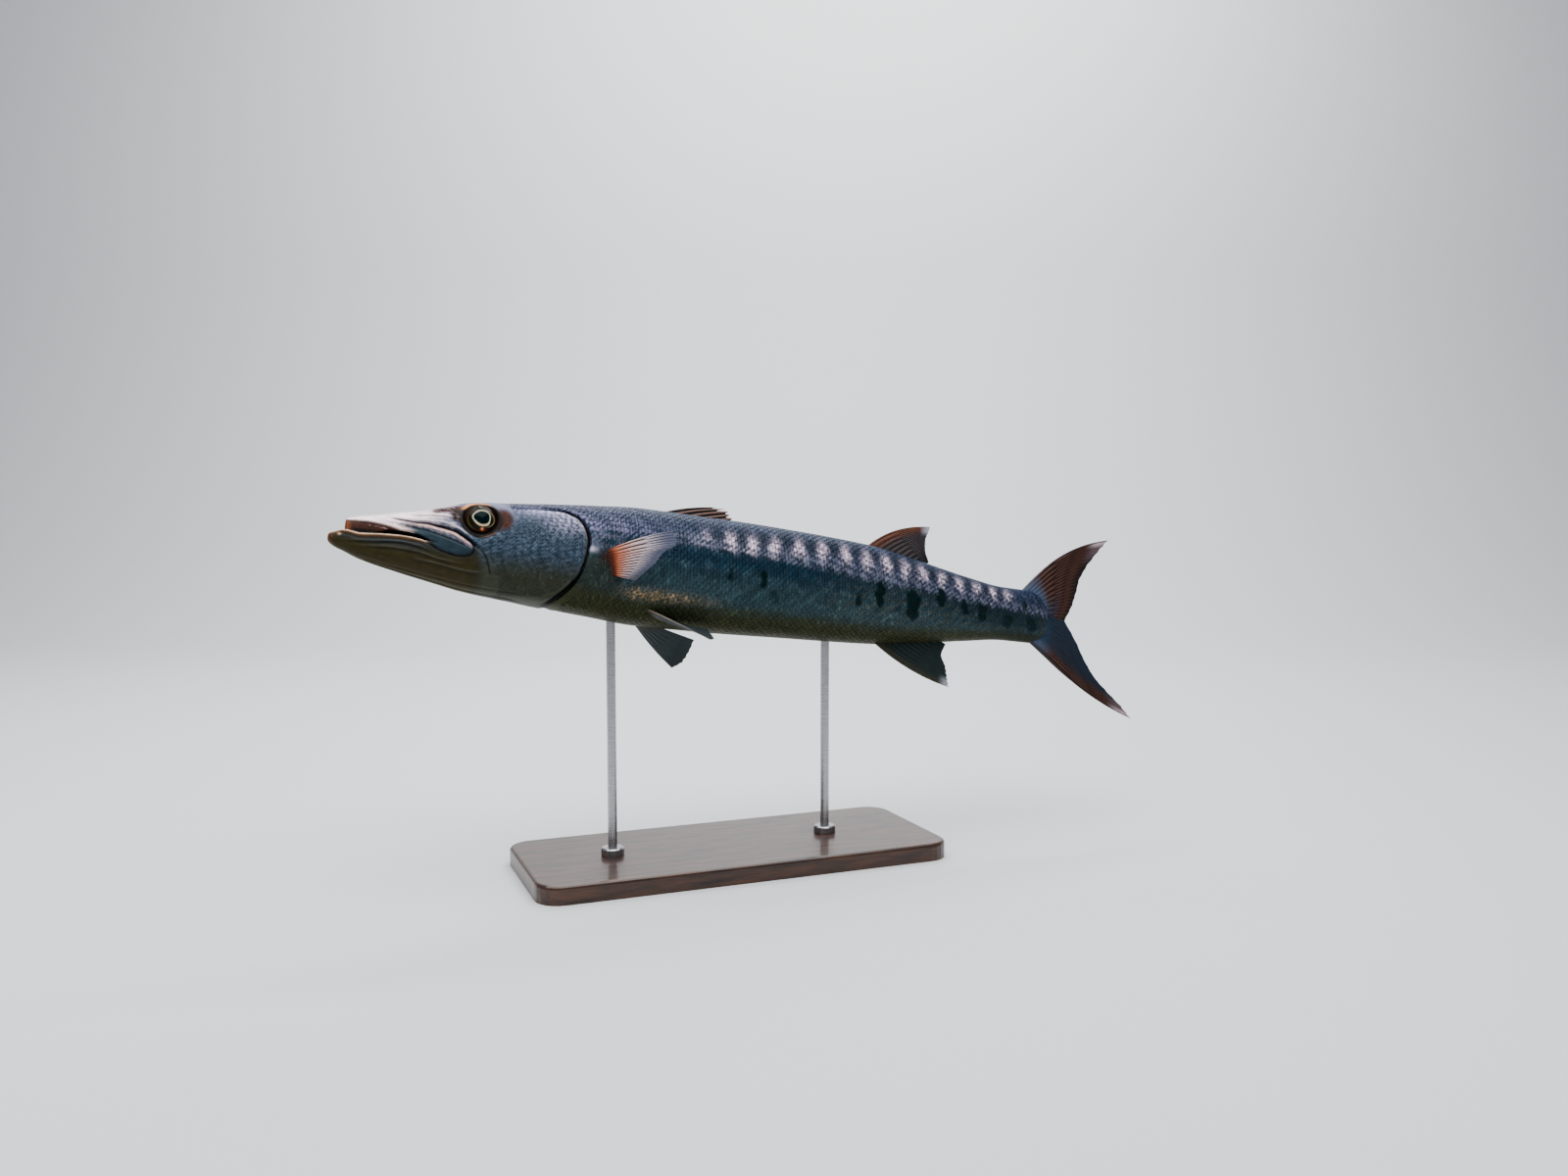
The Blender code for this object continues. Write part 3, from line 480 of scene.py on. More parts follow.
def cheek_layers(h):
    """The slate cheek and gill cover, with painted highlights above and olive painted shade below."""
    x, z, high, fine = h.x, h.z, h.high, h.fine
    shaded = hump(np.hypot(0.5 * (x - 0.224), z - 0.020), 0, 0.013)
    # brushed: a painted highlight on the upper gill cover and along the top of the head
    brushed = hump(np.hypot(0.6 * (x - 0.272), z - 0.031), 0, 0.015)
    brushed = brushed + 0.5 * ramp(high, 0.74, 0.9) * ramp(x, 0.21, 0.25)
    middle = hump(np.hypot(0.6 * (x - 0.232), z - 0.012), 0, 0.020)
    return [(0.7 * h.broad, 76, 94, 110),
            (0.5 * ramp(h.flecks, 0.55, 0.85), 120, 136, 156),
            (0.6 * ramp(0.42 - h.flecks, 0, 0.25), 30, 44, 56),
            (0.35 * ramp(h.drawn_out, 0.5, 0.85), 112, 118, 134),
            (0.45 * ramp(0.45 - h.drawn_out, 0, 0.3), 34, 46, 56),
            # paler towards the top: partly the head's own grey, partly painted light from above; the lilac
            # flecks are a painted highlight
            (0.9 * ramp(high, 0.62, 0.92), 122, 126, 150),
            (0.6 * ramp(high, 0.70, 0.95) * ramp(x, 0.19, 0.22) * ramp(fine, 0.5, 0.8), 172, 164, 188),
            (0.55 * shaded, 38, 52, 62),
            # painted highlight, broken into fine flecks
            (0.9 * brushed * ramp(fine, 0.30, 0.75), 206, 198, 226),
            (0.5 * middle * ramp(fine, 0.45, 0.9), 120, 138, 160),
            # olive lower head: painted shade
            (h.low, 67, 70, 58)]


def snout_layers(h):
    """The pale snout with painted highlights on its top, its dark wrinkles, the dark brow and the streaks
    before the eye.
    """
    x, z, high, fine, top = h.x, h.z, h.high, h.fine, h.f["maxilla_top"]
    snout = ramp(0.150 - x, 0, 0.06) * ramp(high, 0.42, 0.60)
    flow = flowing(x, top, 0.10, 0.0026, 72)
    streaky = window(x, 0.06, 0.10, 0.165, 0.02) * ramp(top, 0.5 * MM, 2.5 * MM)
    brow = window(x, 0.112, 0.120, 0.158, 0.010) * hump(z, 0.0375 + 0.20 * (x - 0.134), 0.0042)
    brow = np.clip(1.5 * brow, 0, 1)
    face = window(x, 0.09, 0.12, 0.165, 0.02) * ramp(0.026 - z, 0, 0.004)
    return [(snout, 158, 142, 148),
            # white on the snout's top and white flecks over it: painted highlights
            (0.95 * snout * ramp(high, 0.66, 0.88), 248, 228, 232),
            (0.7 * snout * ramp(fine, 0.50, 0.85), 238, 220, 228),
            (0.75 * streaky * ramp(flow, 0.55, 0.85) * ramp(0.85 - high, 0, 0.15), 64, 66, 80),
            (0.6 * streaky * ramp(0.35 - flow, 0, 0.25), 250, 236, 240),
            (0.95 * brow, 96, 72, 72),
            (0.9 * brow * ramp(fine, 0.40, 0.60), 48, 28, 30),
            (0.55 * face * ramp(fine, 0.35, 0.75), 70, 78, 92)]


def jaw_layers(h):
    """The dark lower jaw, olive below as painted shade, its ridges with painted highlights on their crests
    and painted shade under them, the brown lip with a painted highlight on its rim, and painted highlights on
    its tip.
    """
    x, jaw, lip = h.x, h.jaw, h.f["lower_lip"]
    band = ramp(lip, -0.3 * MM, 0.4 * MM) * ramp(5.4 * MM - lip, 0, 2.0 * MM)
    # the second layer, olive under the jaw, is painted shade for the underside
    layers = [(jaw, 35, 42, 41), (jaw * ramp(0.44 - h.high, 0, 0.25), 62, 56, 34)]
    for distance, share in h.f["ridges"]:
        # each ridge: a painted highlight on its crest and painted shade below it
        layers += [(0.35 * jaw * hump(distance, 0, 0.7 * MM) * ends(share, 0.25), 112, 112, 108),
                   (0.4 * jaw * hump(distance, -2.4 * MM, 1.4 * MM) * ends(share, 0.25), 16, 16, 12)]
    return layers + [
        (0.9 * band * ramp(0.118 - x, 0, 0.03), 104, 78, 56),
        # pale rim on the lower lip's top edge: the peach lip with a painted highlight
        (hump(lip, 0.3 * MM, 1.3 * MM) * ramp(MOUTH_CORNER - x, 0, 0.006), 250, 214, 184),
        (0.7 * ramp(0.010 - x, 0, 0.008) * ramp(lip, 2 * MM, 4 * MM), 96, 66, 48),
        # near-white top of the jaw's tip and the pale peach spot on its knob: painted highlights
        (0.9 * ramp(0.020 - x, 0, 0.010) * ramp(2.2 * MM - lip, 0, 1.5 * MM), 248, 218, 204),
        (0.7 * hump(np.hypot(x - 0.0125, h.z + 0.0060), 0, 1.6 * MM), 240, 180, 146)]


def lip_layers(h):
    """The brown inner face of the upper lip, darker towards the mouth and near black deep in the gap with
    painted shade, under a pale rim.
    """
    x, fine, lip = h.x, h.fine, h.f["upper_lip"]
    face = ramp(lip, -0.2 * MM, 0.7 * MM) * (h.f["lower_lip"] < 0) * ramp(0.100 - x, 0, 0.02)
    return [(face, 112, 62, 34),
            # darker farther into the mouth: painted shade in the recess
            (0.9 * face * ramp(x, 0.019, 0.027), 50, 26, 18),
            (0.6 * face * ramp(fine, 0.5, 0.8), 36, 20, 16),
            # near black deep in the gap: painted shade
            (0.95 * face * ramp(lip, 8.5 * MM, 10.5 * MM) * ramp(x, 0.022, 0.030), 12, 8, 8),
            (0.7 * face * hump(lip, 3.6 * MM, 0.7 * MM) * ramp(fine, 0.55, 0.8), 190, 150, 150),
            (0.85 * hump(-lip, 1.6 * MM, 1.8 * MM) * ramp(0.108 - x, 0, 0.02), 246, 220, 212)]


def plate_layers(h):
    """The slate jaw plate with painted pink highlights on its upper band, pale ridges with painted
    highlights, and creases darkened with painted shade.
    """
    x, fine, f = h.x, h.fine, h.f
    plate = f["maxilla"]
    band = plate * ramp(f["maxilla_mid"], 0.2 * MM, 1.4 * MM) * window(x, 0.07, 0.10, 0.168, 0.012)
    under_slit = hump(f["maxilla_top"], (-2.4 - 0.8 * hump(x, 0.135, 0.015)) * MM, 1.5 * MM)
    pink_highlight = plate * under_slit * window(x, 0.080, 0.11, 0.166, 0.016)
    slit = 0.8 + 1.3 * ramp(x, 0.10, 0.140)
    return [(plate * ramp(x, 0.078, 0.10), 47, 62, 71),
            # the plate's paler upper band: painted highlight
            (0.75 * band, 84, 92, 106),
            (0.5 * band * ramp(fine, 0.4, 0.8), 150, 142, 150),
            # pink stripe under the slit: a painted highlight
            (0.9 * pink_highlight * (0.6 + 0.5 * fine), 240, 192, 180),
            # pale lines along the cheek and brow ridges: painted highlights on their crests
            (0.7 * stroke(f, "cheek", 0, 1.2, 0.2), 206, 194, 208),
            (0.9 * stroke(f, "brow", 0, 1.2, 0.2), 246, 224, 228),
            # near-black lines in the plate's slit and creases, and the faint preopercle line: painted shade
            (stroke(f, "maxilla_top", 0.9, slit, 0.15), 8, 9, 12),
            (0.85 * stroke(f, "maxilla_rear", 0.3, 0.9, 0.15), 8, 9, 12),
            (0.85 * stroke(f, "maxilla_mid", 0, 0.8, 0.15), 8, 9, 12),
            (0.8 * stroke(f, "maxilla_edge", -0.9, 1.0, 0.15), 8, 9, 12),
            (0.25 * stroke(f, "preopercle", 0, 1.6, 0.4), 24, 34, 44)]


def socket_layers(h):
    """The brown flesh around the eye, and the orange band over it."""
    x, z, eye = h.x, h.z, h.f["eye"]
    before_eye = ramp(0.0140 - np.hypot(0.8 * (x - 0.1490), z - 0.0300), 0, 0.005)
    brow_band = hump(eye, 22.6 * MM, 2.4 * MM) * ramp(z, 0.036, 0.041) * ramp(0.184 - x, 0, 0.012)
    lower_lid = hump(eye, 22.4 * MM, 0.6 * MM) * ramp(0.014 - z, 0, 0.006) * ramp(x, 0.165, 0.178)
    return [(h.behind_eye, 60, 29, 22),
            (0.5 * h.behind_eye * ramp(h.mottle, 0.5, 0.9), 96, 52, 40),
            (0.97 * before_eye * (0.8 + 0.4 * ramp(h.fine, 0.25, 0.6)), 46, 31, 27),
            (0.97 * h.around_eye, 24, 17, 12),
            (0.95 * brow_band, 226, 160, 112),
            (0.6 * lower_lid, 170, 132, 118)]


def opening_layers(h):
    """The inside of the mouth and of the gill opening, darkened with painted shade, with the gill cover's
    pale edge.
    """
    share = h.f["gill_share"]
    pale_edge = hump(h.f["gill"], -1.3 * MM, 1.0 * MM) * ramp(0.55 - share, 0, 0.15) * ramp(share, 0.1, 0.3)
    # dark mouth and near-black gill opening: painted shade
    return [(h.mouth, 22, 14, 13), (0.98 * h.opening, 6, 7, 9), (0.45 * pale_edge, 140, 122, 112)]


def head_paint(points):
    """Colour and silver share of the head: pale lips, slate jaw plate, blue cheek with painted highlights,
    and painted shade in its hollows and below.
    """
    h = head_places(points)
    paint = colour(50, 70, 84)
    for layers in (cheek_layers, snout_layers, jaw_layers, lip_layers, plate_layers, socket_layers,
                   opening_layers):
        paint = layered(paint, *layers(h))
    silver = 0.32 * (1 - 0.8 * h.low) * (1 - 0.8 * h.jaw) * (1 - 0.8 * h.mouth)
    return paint, silver * (1 - h.around_eye) * (1 - h.behind_eye) * (1 - h.opening)


HEAD_END = 0.335              # no marking of the head reaches farther back


def body_paint(points):
    """The markings of skin and scales alike, at points in the fish's frame."""
    paint, silver = trunk_paint(points)
    fore = points[..., 0] < HEAD_END
    head, head_silver = head_paint(points[fore])
    x, _, z = points[fore].T
    distance, share = near(GILL_EDGE, x, z)
    width = slit_width_at(share) * MM
    past = np.where(x < 0.205, 0, ramp(distance, width, width + 2.5 * MM))
    fin_base = hump(np.hypot(0.8 * (x - 0.322), z + 0.010), 0, 0.0085)
    bright_spot = hump(np.hypot(0.6 * (x - 0.3025), z + 0.002), 0, 0.0036)
    paint[fore] = layered(tint(head, past, paint[fore]), (0.85 * fin_base * past, 64, 32, 20),
                          (0.65 * bright_spot * past, 226, 220, 232))
    silver[fore] = head_silver + (silver[fore] - head_silver) * past
    return paint, silver


# Skin

HEAD_CELL = 1.05 * MM         # from station to station on the head
TRUNK_CELL = 5.0 * MM         # and on the trunk
SIDE_CELL = 1.0 * MM          # across and up
RELIEF_END = 0.34             # no relief of the head reaches farther back
SNOUT_FACE = 0.0186           # the front of the upper jaw, which the lower jaw's tip stands before
KNOB_END = 0.036              # the lower jaw's tip is shaped on its own up to here
MOUTH_FRONT = 0.026
MOUTH_CORNER = 0.122
TAIL_END = 0.9995
THINNEST_HALF = 0.002
KNOB_TOP = [(0, -0.0030), (0.005, 0.0000), (0.0145, 0.0030), (0.022, 0.010), (0.036, 0.022)]


def smooth_max(a, b, k):
    """The larger of two distances, with the edge between them rounded."""
    blend = np.maximum(k - np.abs(a - b), 0) / k
    return np.maximum(a, b) + blend * blend * k / 4


def oval_middle(x, top):
    """Height of the widest place of the body's section at x, kept between belly and top."""
    return np.clip(widest_height_at(x), belly_at(x) + THINNEST_HALF, top - THINNEST_HALF)


def oval_reach(x, y, rise, top):
    """How far out a place is from the middle of the body's oval section, as a share of the way."""
    middle = oval_middle(x, top)
    height = np.where(rise > 0, top - middle, middle - belly_at(x))
    power = squareness_at(x)
    return (np.abs(y / half_width_at(x)) ** power + np.abs(rise / height) ** power) ** (1 / power)


def oval_distance(x, y, z, top):
    """Distance outside the body's oval section at x, whose top may be lowered."""
    rise = z - oval_middle(x, top)
    return np.hypot(y, rise) * (1 - 1 / np.maximum(oval_reach(x, y, rise, top), 0.05))


def relief_at(x, y, z):
    """The relief of the head on any side of it, for broadcast coordinates."""
    middle = widest_height_at(x)
    side = ramp(np.abs(y) / half_width_at(x), 0.12, 0.50)
    up = ramp((z - middle) / (back_at(x) - middle), 0.45, 0.8)
    down = ramp((middle - z) / (middle - belly_at(x)), 0.45, 0.8)
    return side_relief(x, z) * side + crown_relief(x, y) * up + throat_relief(x, y) * down


def skin_field(stations, across, up):
    """Signed distances of the skin for one half of the fish, outside positive."""
    x, y, z = stations[:, None, None], across[None, :, None], up[None, None, :]
    body = oval_distance(x, y, z, back_at(x)) + coat_depth(x)
    fore = stations < RELIEF_END
    body[fore] -= relief_at(x[fore], y, z)
    body = smooth_max(body, SNOUT_FACE - x, 2.0 * MM)

    # The tip of the lower jaw
    knob = stations < KNOB_END
    near_x = x[knob]
    tip = oval_distance(near_x, y, z, smooth_curve(KNOB_TOP)(near_x)) + coat_depth(0)
    tip -= side_relief(near_x, z) * ramp(near_x, 0.006, 0.016)
    tip = smooth_max(tip, z - lower_lip_at(near_x), 1.6 * MM)
    tip = smooth_max(tip, 0.5 * MM - near_x, 3.0 * MM)
    body[knob] = np.minimum(body[knob], tip)

    # The gap between the lips
    mouth = stations < MOUTH_CORNER
    near_x = x[mouth]
    core = half_width_at(near_x) - 9.0 * MM
    sideways = np.maximum(np.abs(y) - core, MOUTH_FRONT - near_x)
    gap = np.minimum(inner_lip_at(near_x) - z, z - lower_lip_at(near_x))
    body[mouth] = smooth_max(body[mouth], np.minimum(gap, sideways), 1.2 * MM)

    # The eye's socket
    eye = np.sqrt(((x - EYE_PLACE[0]) / EYE_RADII[0]) ** 2 + ((y - EYE_SIDE) / EYE_RADII[1]) ** 2
                  + ((z - EYE_PLACE[1]) / EYE_RADII[2]) ** 2)
    body = smooth_max(body, -(eye - 1) * EYE_RADII[1], 0.8 * MM)
    return smooth_max(body, x - TAIL_END, 2.0 * MM)


def skin_stations():
    """Stations along the fish, close together on the head and wider on the trunk."""
    stations = [-4 * MM]
    while stations[-1] < 1.0 + 5 * MM:
        step = HEAD_CELL + (TRUNK_CELL - HEAD_CELL) * ramp(stations[-1], 0.305, 0.36)
        stations.append(stations[-1] + step)
    return np.array(stations)


def largest_piece(count, quads):
    """A mask of the quads that belong to the largest connected piece."""
    label = np.arange(count)
    while True:
        lowest = label[quads].min(axis=1)
        new = label.copy()
        for corner in range(4):
            np.minimum.at(new, quads[:, corner], lowest)
        new = new[new]
        if np.array_equal(new, label):
            break
        label = new
    biggest = np.bincount(label).argmax()
    return label[quads[:, 0]] == biggest


def skin_surface():
    """Points of the skin in the unbent fish frame, and its quads."""
    stations = skin_stations()
    across = np.arange(0, 0.062, SIDE_CELL)
    up = np.arange(-0.084, 0.084, SIDE_CELL)
    half = skin_field(stations, across, up)
    field = np.concatenate([half[:, :0:-1], half], axis=1)
    grid = openvdb.FloatGrid(1.0)
    grid.copyFromArray(np.ascontiguousarray(field / MM))
    points, quads = grid.convertToQuads(isovalue=0.0)
    points, quads = np.array(points, float), np.array(quads, int)
    quads = quads[largest_piece(len(points), quads)]
    used, flat = np.unique(quads, return_inverse=True)
    points, quads = points[used], flat.reshape(-1, 4)
    x = np.interp(points[:, 0], np.arange(len(stations)), stations)
    y = (points[:, 1] - len(across) + 1) * SIDE_CELL
    z = up[0] + points[:, 2] * SIDE_CELL
    points = np.stack([x, y, z], axis=1)
    corners = points[quads]
    normals = np.cross(corners[:, 2] - corners[:, 0], corners[:, 3] - corners[:, 1])
    if np.einsum("ij,ij->i", normals, corners.mean(axis=1) - [0.5, 0, 0]).sum() < 0:
        quads = quads[:, ::-1]
    return points, quads


def add_object(name, data):
    thing = bpy.data.objects.new(name, data)
    bpy.context.scene.collection.objects.link(thing)
    return thing


def set_points(mesh, label, values):
    """Store one value or one colour for each point of a mesh."""
    if values.shape[-1] == 3:
        layer, key = mesh.color_attributes.new(label, "FLOAT_COLOR", "POINT"), "color"
        values = np.clip(values, 0, 1).reshape(-1, 3)
        values = np.concatenate([values, np.ones((len(values), 1))], axis=1)
    else:
        layer, key = mesh.attributes.new(label, "FLOAT", "POINT"), "value"
    layer.data.foreach_set(key, values.astype(np.float32).ravel())


def set_uvs(mesh, maps):
    """Store UV maps that are given by point."""
    corner_points = np.zeros(len(mesh.loops), int)
    mesh.loops.foreach_get("vertex_index", corner_points)
    for label, places in maps.items():
        layer = mesh.uv_layers.new(name=label)
        layer.data.foreach_set("uv", places[corner_points].astype(np.float32).ravel())


def make_piece(name, points, faces, replaced, material, attributes, maps=()):
    """A mesh piece from points in the fish's frame, riding on the one body."""
    mesh = bpy.data.meshes.new(name)
    points = np.asarray(points, float).reshape(-1, 3) * STANDARD_LENGTH
    mesh.from_pydata(points.tolist(), [], faces)
    mesh.transform(FISH)
    for label, values in attributes.items():
        set_points(mesh, label, values)
    set_uvs(mesh, dict(maps))
    mesh.materials.append(material)
    mesh.shade_smooth()
    piece = add_object(name, mesh)
    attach(piece, "root")
    if replaced:
        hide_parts(*replaced)


# Materials

def new_material(name, values=()):
    """A material with constants set on its shader, and its node tree and shader."""
    material = bpy.data.materials.new(name)
    material.use_nodes = True
    shader = material.node_tree.nodes["Principled BSDF"]
    for socket, value in dict(values).items():
        shader.inputs[socket].default_value = value
    return material, material.node_tree, shader


def wire(shader, **sources):
    """Link outputs to the shader's sockets, whose names are given with _ for a space."""
    for socket, source in sources.items():
        shader.id_data.links.new(source, shader.inputs[socket.replace("_", " ")])


def add_node(tree, kind, inputs=(), **settings):
    node = tree.nodes.new(kind)
    for key, value in settings.items():
        setattr(node, key, value)
    for key, value in dict(inputs).items():
        if isinstance(value, bpy.types.NodeSocket):
            tree.links.new(value, node.inputs[key])
        else:
            node.inputs[key].default_value = value
    return node


def noise(tree, place, scale, detail=4.0, roughness=0.55):
    inputs = {"Vector": place, "Scale": scale, "Detail": detail, "Roughness": roughness}
    return add_node(tree, "ShaderNodeTexNoise", inputs).outputs["Fac"]


def remap(tree, value, low, high, new_low, new_high):
    inputs = {0: value, 1: low, 2: high, 3: new_low, 4: new_high}
    return add_node(tree, "ShaderNodeMapRange", inputs).outputs[0]


def vary(tree, pattern, low, high):
    """A noise's usual range, stretched over the values from low to high."""
    return remap(tree, pattern, 0.3, 0.7, low, high)


def math_node(tree, operation, first, second):
    return add_node(tree, "ShaderNodeMath", {0: first, 1: second}, operation=operation).outputs[0]


def bump(tree, height, distance, strength=1.0, after=None):
    inputs = {"Height": height, "Distance": distance, "Strength": strength}
    if after is not None:
        inputs["Normal"] = after
    return add_node(tree, "ShaderNodeBump", inputs).outputs["Normal"]


def value_of(tree, attribute):
    return add_node(tree, "ShaderNodeAttribute", attribute_name=attribute).outputs["Fac"]


def shaded(tree, base, factor):
    """A colour made lighter or darker by a factor socket."""
    return add_node(tree, "ShaderNodeVectorMath", {0: base, 1: factor}, operation="MULTIPLY").outputs[0]


def painted(tree, factor):
    """The paint attribute made lighter or darker by a factor socket."""
    paint = add_node(tree, "ShaderNodeAttribute", attribute_name="paint").outputs["Color"]
    return shaded(tree, paint, factor)


def colour_ramp(tree, factor, *stops):
    """Colours over a factor, each stop given as its position, red, green and blue."""
    node = add_node(tree, "ShaderNodeValToRGB", {"Fac": factor})
    for element, (position, *display) in zip(node.color_ramp.elements, stops):
        element.position, element.color = position, (*colour(*display), 1)
    return node.outputs["Color"]


def object_place(tree, stretch=(1, 1, 1)):
    place = add_node(tree, "ShaderNodeTexCoord").outputs["Object"]
    return add_node(tree, "ShaderNodeMapping", {"Vector": place, "Scale": stretch}).outputs["Vector"]


def skin_material():
    """Wet skin: fine pores and wrinkles, silver where the attribute says so."""
    material, tree, shader = new_material("barracuda skin", {
        "Specular IOR Level": 0.14, "Coat Weight": 0.04, "Coat Roughness": 0.16})
    place = object_place(tree)
    pores = noise(tree, place, 900, 3)
    streaks = noise(tree, object_place(tree, (0.35, 1, 1)), 260, 5, 0.65)
    blotches = noise(tree, place, 70, 4)
    factor = math_node(tree, "MULTIPLY", vary(tree, streaks, 0.80, 1.18), vary(tree, blotches, 0.88, 1.10))
    rough = bump(tree, pores, 0.00012, 0.5)
    wire(shader, Base_Color=painted(tree, factor), Metallic=value_of(tree, "silver"),
         Roughness=vary(tree, streaks, 0.34, 0.56), Normal=bump(tree, streaks, 0.0004, 0.5, rough))
    return material


def scale_material():
    """Scales: growth rings and fine grain, with the gloss of each scale slightly different."""
    material, tree, shader = new_material("barracuda scales", {
        "Specular IOR Level": 0.14, "Coat Weight": 0.04, "Coat Roughness": 0.14})
    grain = noise(tree, object_place(tree), 700, 4, 0.6)
    own = add_node(tree, "ShaderNodeUVMap", uv_map="own").outputs["UV"]
    radius = add_node(tree, "ShaderNodeVectorMath", {0: own}, operation="LENGTH").outputs["Value"]
    rings = math_node(tree, "SINE", math_node(tree, "MULTIPLY", radius, 46.0), 0.0)
    factor = math_node(tree, "MULTIPLY", vary(tree, grain, 0.86, 1.14),
                       remap(tree, rings, -1.0, 1.0, 0.97, 1.03))
    fine = bump(tree, rings, 0.00003, 0.4)
    wire(shader, Base_Color=painted(tree, factor), Metallic=value_of(tree, "silver"),
         Roughness=vary(tree, grain, 0.36, 0.58), Normal=bump(tree, grain, 0.00015, 0.5, fine))
    return material


def make_skin(material):
    points, quads = skin_surface()
    paint, silver = body_paint(points)
    replaced = ["head", "lower_jaw", "gill_cover_left", "gill_cover_right", "trunk_front", "trunk_rear",
                "tail_stalk"]
    make_piece("skin", bend_tail(points), quads.tolist(), replaced, material,
               {"paint": paint, "silver": silver})


# Scales

UPPER_ROWS = 10
LOWER_ROWS = 14
SHEET_STEPS = 200             # columns of the surface table on each side
SHEET_CELL = 1.2 * MM         # from row of the table to row
SECTION_STEPS = 361           # points around half a section when it is measured


def surface_points(x, turn):
    """The skin at station x and angle turn about the section's middle, 0 at the top."""
    y_way, z_way = np.sin(turn), np.cos(turn)
    middle = oval_middle(x, back_at(x))
    radius = 1 / oval_reach(x, y_way, z_way, back_at(x)) - coat_depth(x)
    fore = x[:, 0] < RELIEF_END
    lift = np.zeros(radius.shape)
    for _ in range(2):
        y, z = (radius + lift) * y_way, middle + (radius + lift) * z_way
        lift[fore] = relief_at(x[fore] + 0 * y[fore], y[fore], z[fore])
    radius = radius + lift
    return np.stack([x + 0 * radius, radius * y_way, middle + radius * z_way], axis=-1)


class Sheet:
    """The skin as a table over station and row share, for laying scales on.

    The row share runs from 0 at the back to 1 at the belly on the fish's right, and from 0 to -1
    on its left.  The lateral line keeps one row share all along.
    """

    def __init__(self, start, end, line_share):
        self.start, self.end = start, end
        stations = np.linspace(start, end, int((end - start) / SHEET_CELL))
        turn = np.linspace(0, np.pi, SECTION_STEPS)
        ring = surface_points(stations[:, None], turn[None, :])
        arc = np.concatenate([np.zeros((len(stations), 1)),
                              np.cumsum(np.linalg.norm(np.diff(ring, axis=1), axis=2), axis=1)], axis=1)
        rows = np.linspace(0, 1, SHEET_STEPS + 1)
        half = np.zeros((len(stations), SHEET_STEPS + 1, 3))
        for i, x in enumerate(stations):
            share = arc[i] / arc[i, -1]
            line_at = np.interp(-lateral_line_at(x), -ring[i, :, 2], share)
            warped = np.interp(share, [0, line_at, 1], [0, line_share, 1])
            for axis in range(3):
                half[i, :, axis] = np.interp(rows, warped, ring[i, :, axis])
        left = half[:, :0:-1] * [1, -1, 1]
        self.places = np.concatenate([left, half], axis=1)
        normals = np.cross(np.gradient(self.places, axis=0), np.gradient(self.places, axis=1))
        self.normals = normals / np.linalg.norm(normals, axis=2)[..., None]
        self.girth = 2 * arc[:, -1]

    def at(self, x, row):
        """Skin places and outward normals at stations and row shares."""
        row = (row + 1) % 2 - 1
        i = np.clip((x - self.start) / (self.end - self.start), 0, 1) * (len(self.places) - 1)
        j = (row + 1) * SHEET_STEPS
        low_i = np.clip(i.astype(int), 0, len(self.places) - 2)
        low_j = np.clip(j.astype(int), 0, self.places.shape[1] - 2)
        fi, fj = (i - low_i)[..., None], (j - low_j)[..., None]
        found = []
        for table in (self.places, self.normals):
            near_side = table[low_i, low_j] * (1 - fj) + table[low_i, low_j + 1] * fj
            far_side = table[low_i + 1, low_j] * (1 - fj) + table[low_i + 1, low_j + 1] * fj
            found.append(near_side * (1 - fi) + far_side * fi)
        normals = found[1] / np.linalg.norm(found[1], axis=-1)[..., None]
        return found[0], normals


def grid_quads(index):
    """Quads between neighbours in a table of point numbers."""
    corners = [index[:-1, :-1], index[1:, :-1], index[1:, 1:], index[:-1, 1:]]
    return np.stack(corners, axis=-1).reshape(-1, 4)


def plate_pattern(across, along):
    """A closed rounded plate: its points in a square from -1 to 1, which side each is on, and faces."""
    u, v = np.meshgrid(np.linspace(-1, 1, along), np.linspace(-1, 1, across), indexing="ij")
    round_u = u * np.sqrt(1 - 0.46 * v**2)
    round_v = v * np.sqrt(1 - 0.46 * u**2)
    index = np.arange(along * across).reshape(along, across)
    edge = np.zeros((along, across), bool)
    edge[[0, -1]] = edge[:, [0, -1]] = True
    under = np.where(edge, index, 0)
    under[~edge] = along * across + np.arange((~edge).sum())
    places = np.stack([round_u.ravel(), round_v.ravel()], axis=1)
    places = np.concatenate([places, places[~edge.ravel()]])
    side = np.concatenate([np.where(edge.ravel(), 0.0, 1.0), -np.ones((~edge).sum())])
    turned_over = [0, 3, 2, 1]
    return places, side, np.concatenate([grid_quads(index), grid_quads(under)[:, turned_over]])


def lay_scales(sheet, x, row, length, width, rise, thickness, pattern, seed):
    """Overlapping plates at roots (x, row): the skin under their points, and the points."""
    rng = np.random.default_rng(seed)
    places, side, _ = pattern
    u, v = places[:, 0], places[:, 1]
    twist = rng.normal(0, 0.16, (len(x), 1)) * rise[:, None]
    lift = rise[:, None] * (0.30 + 0.70 * u) + twist * v
    dome = thickness[:, None] * (1 - 0.55 * v**2) * (1 - 0.4 * u**2)
    height = lift + np.where(side > 0, dome, np.where(side < 0, -0.35 * thickness[:, None], 0.0))
    along = x[:, None] + 0.5 * length[:, None] * (u + 0.25)
    surface, normals = sheet.at(along, row[:, None] + 0.5 * width * v)
    return surface, surface + normals * height[..., None]


def scale_uv(x, row, pattern):
    """Each plate as a patch 0.003 across at its root's place on the unrolled skin."""
    root = np.stack([0.01 + 0.98 * (x - x.min()) / (x.max() - x.min()), 0.5 + 0.49 * row], axis=1)
    return (root[:, None, :] + 0.0015 * pattern[0][None, :, :]).reshape(-1, 2)


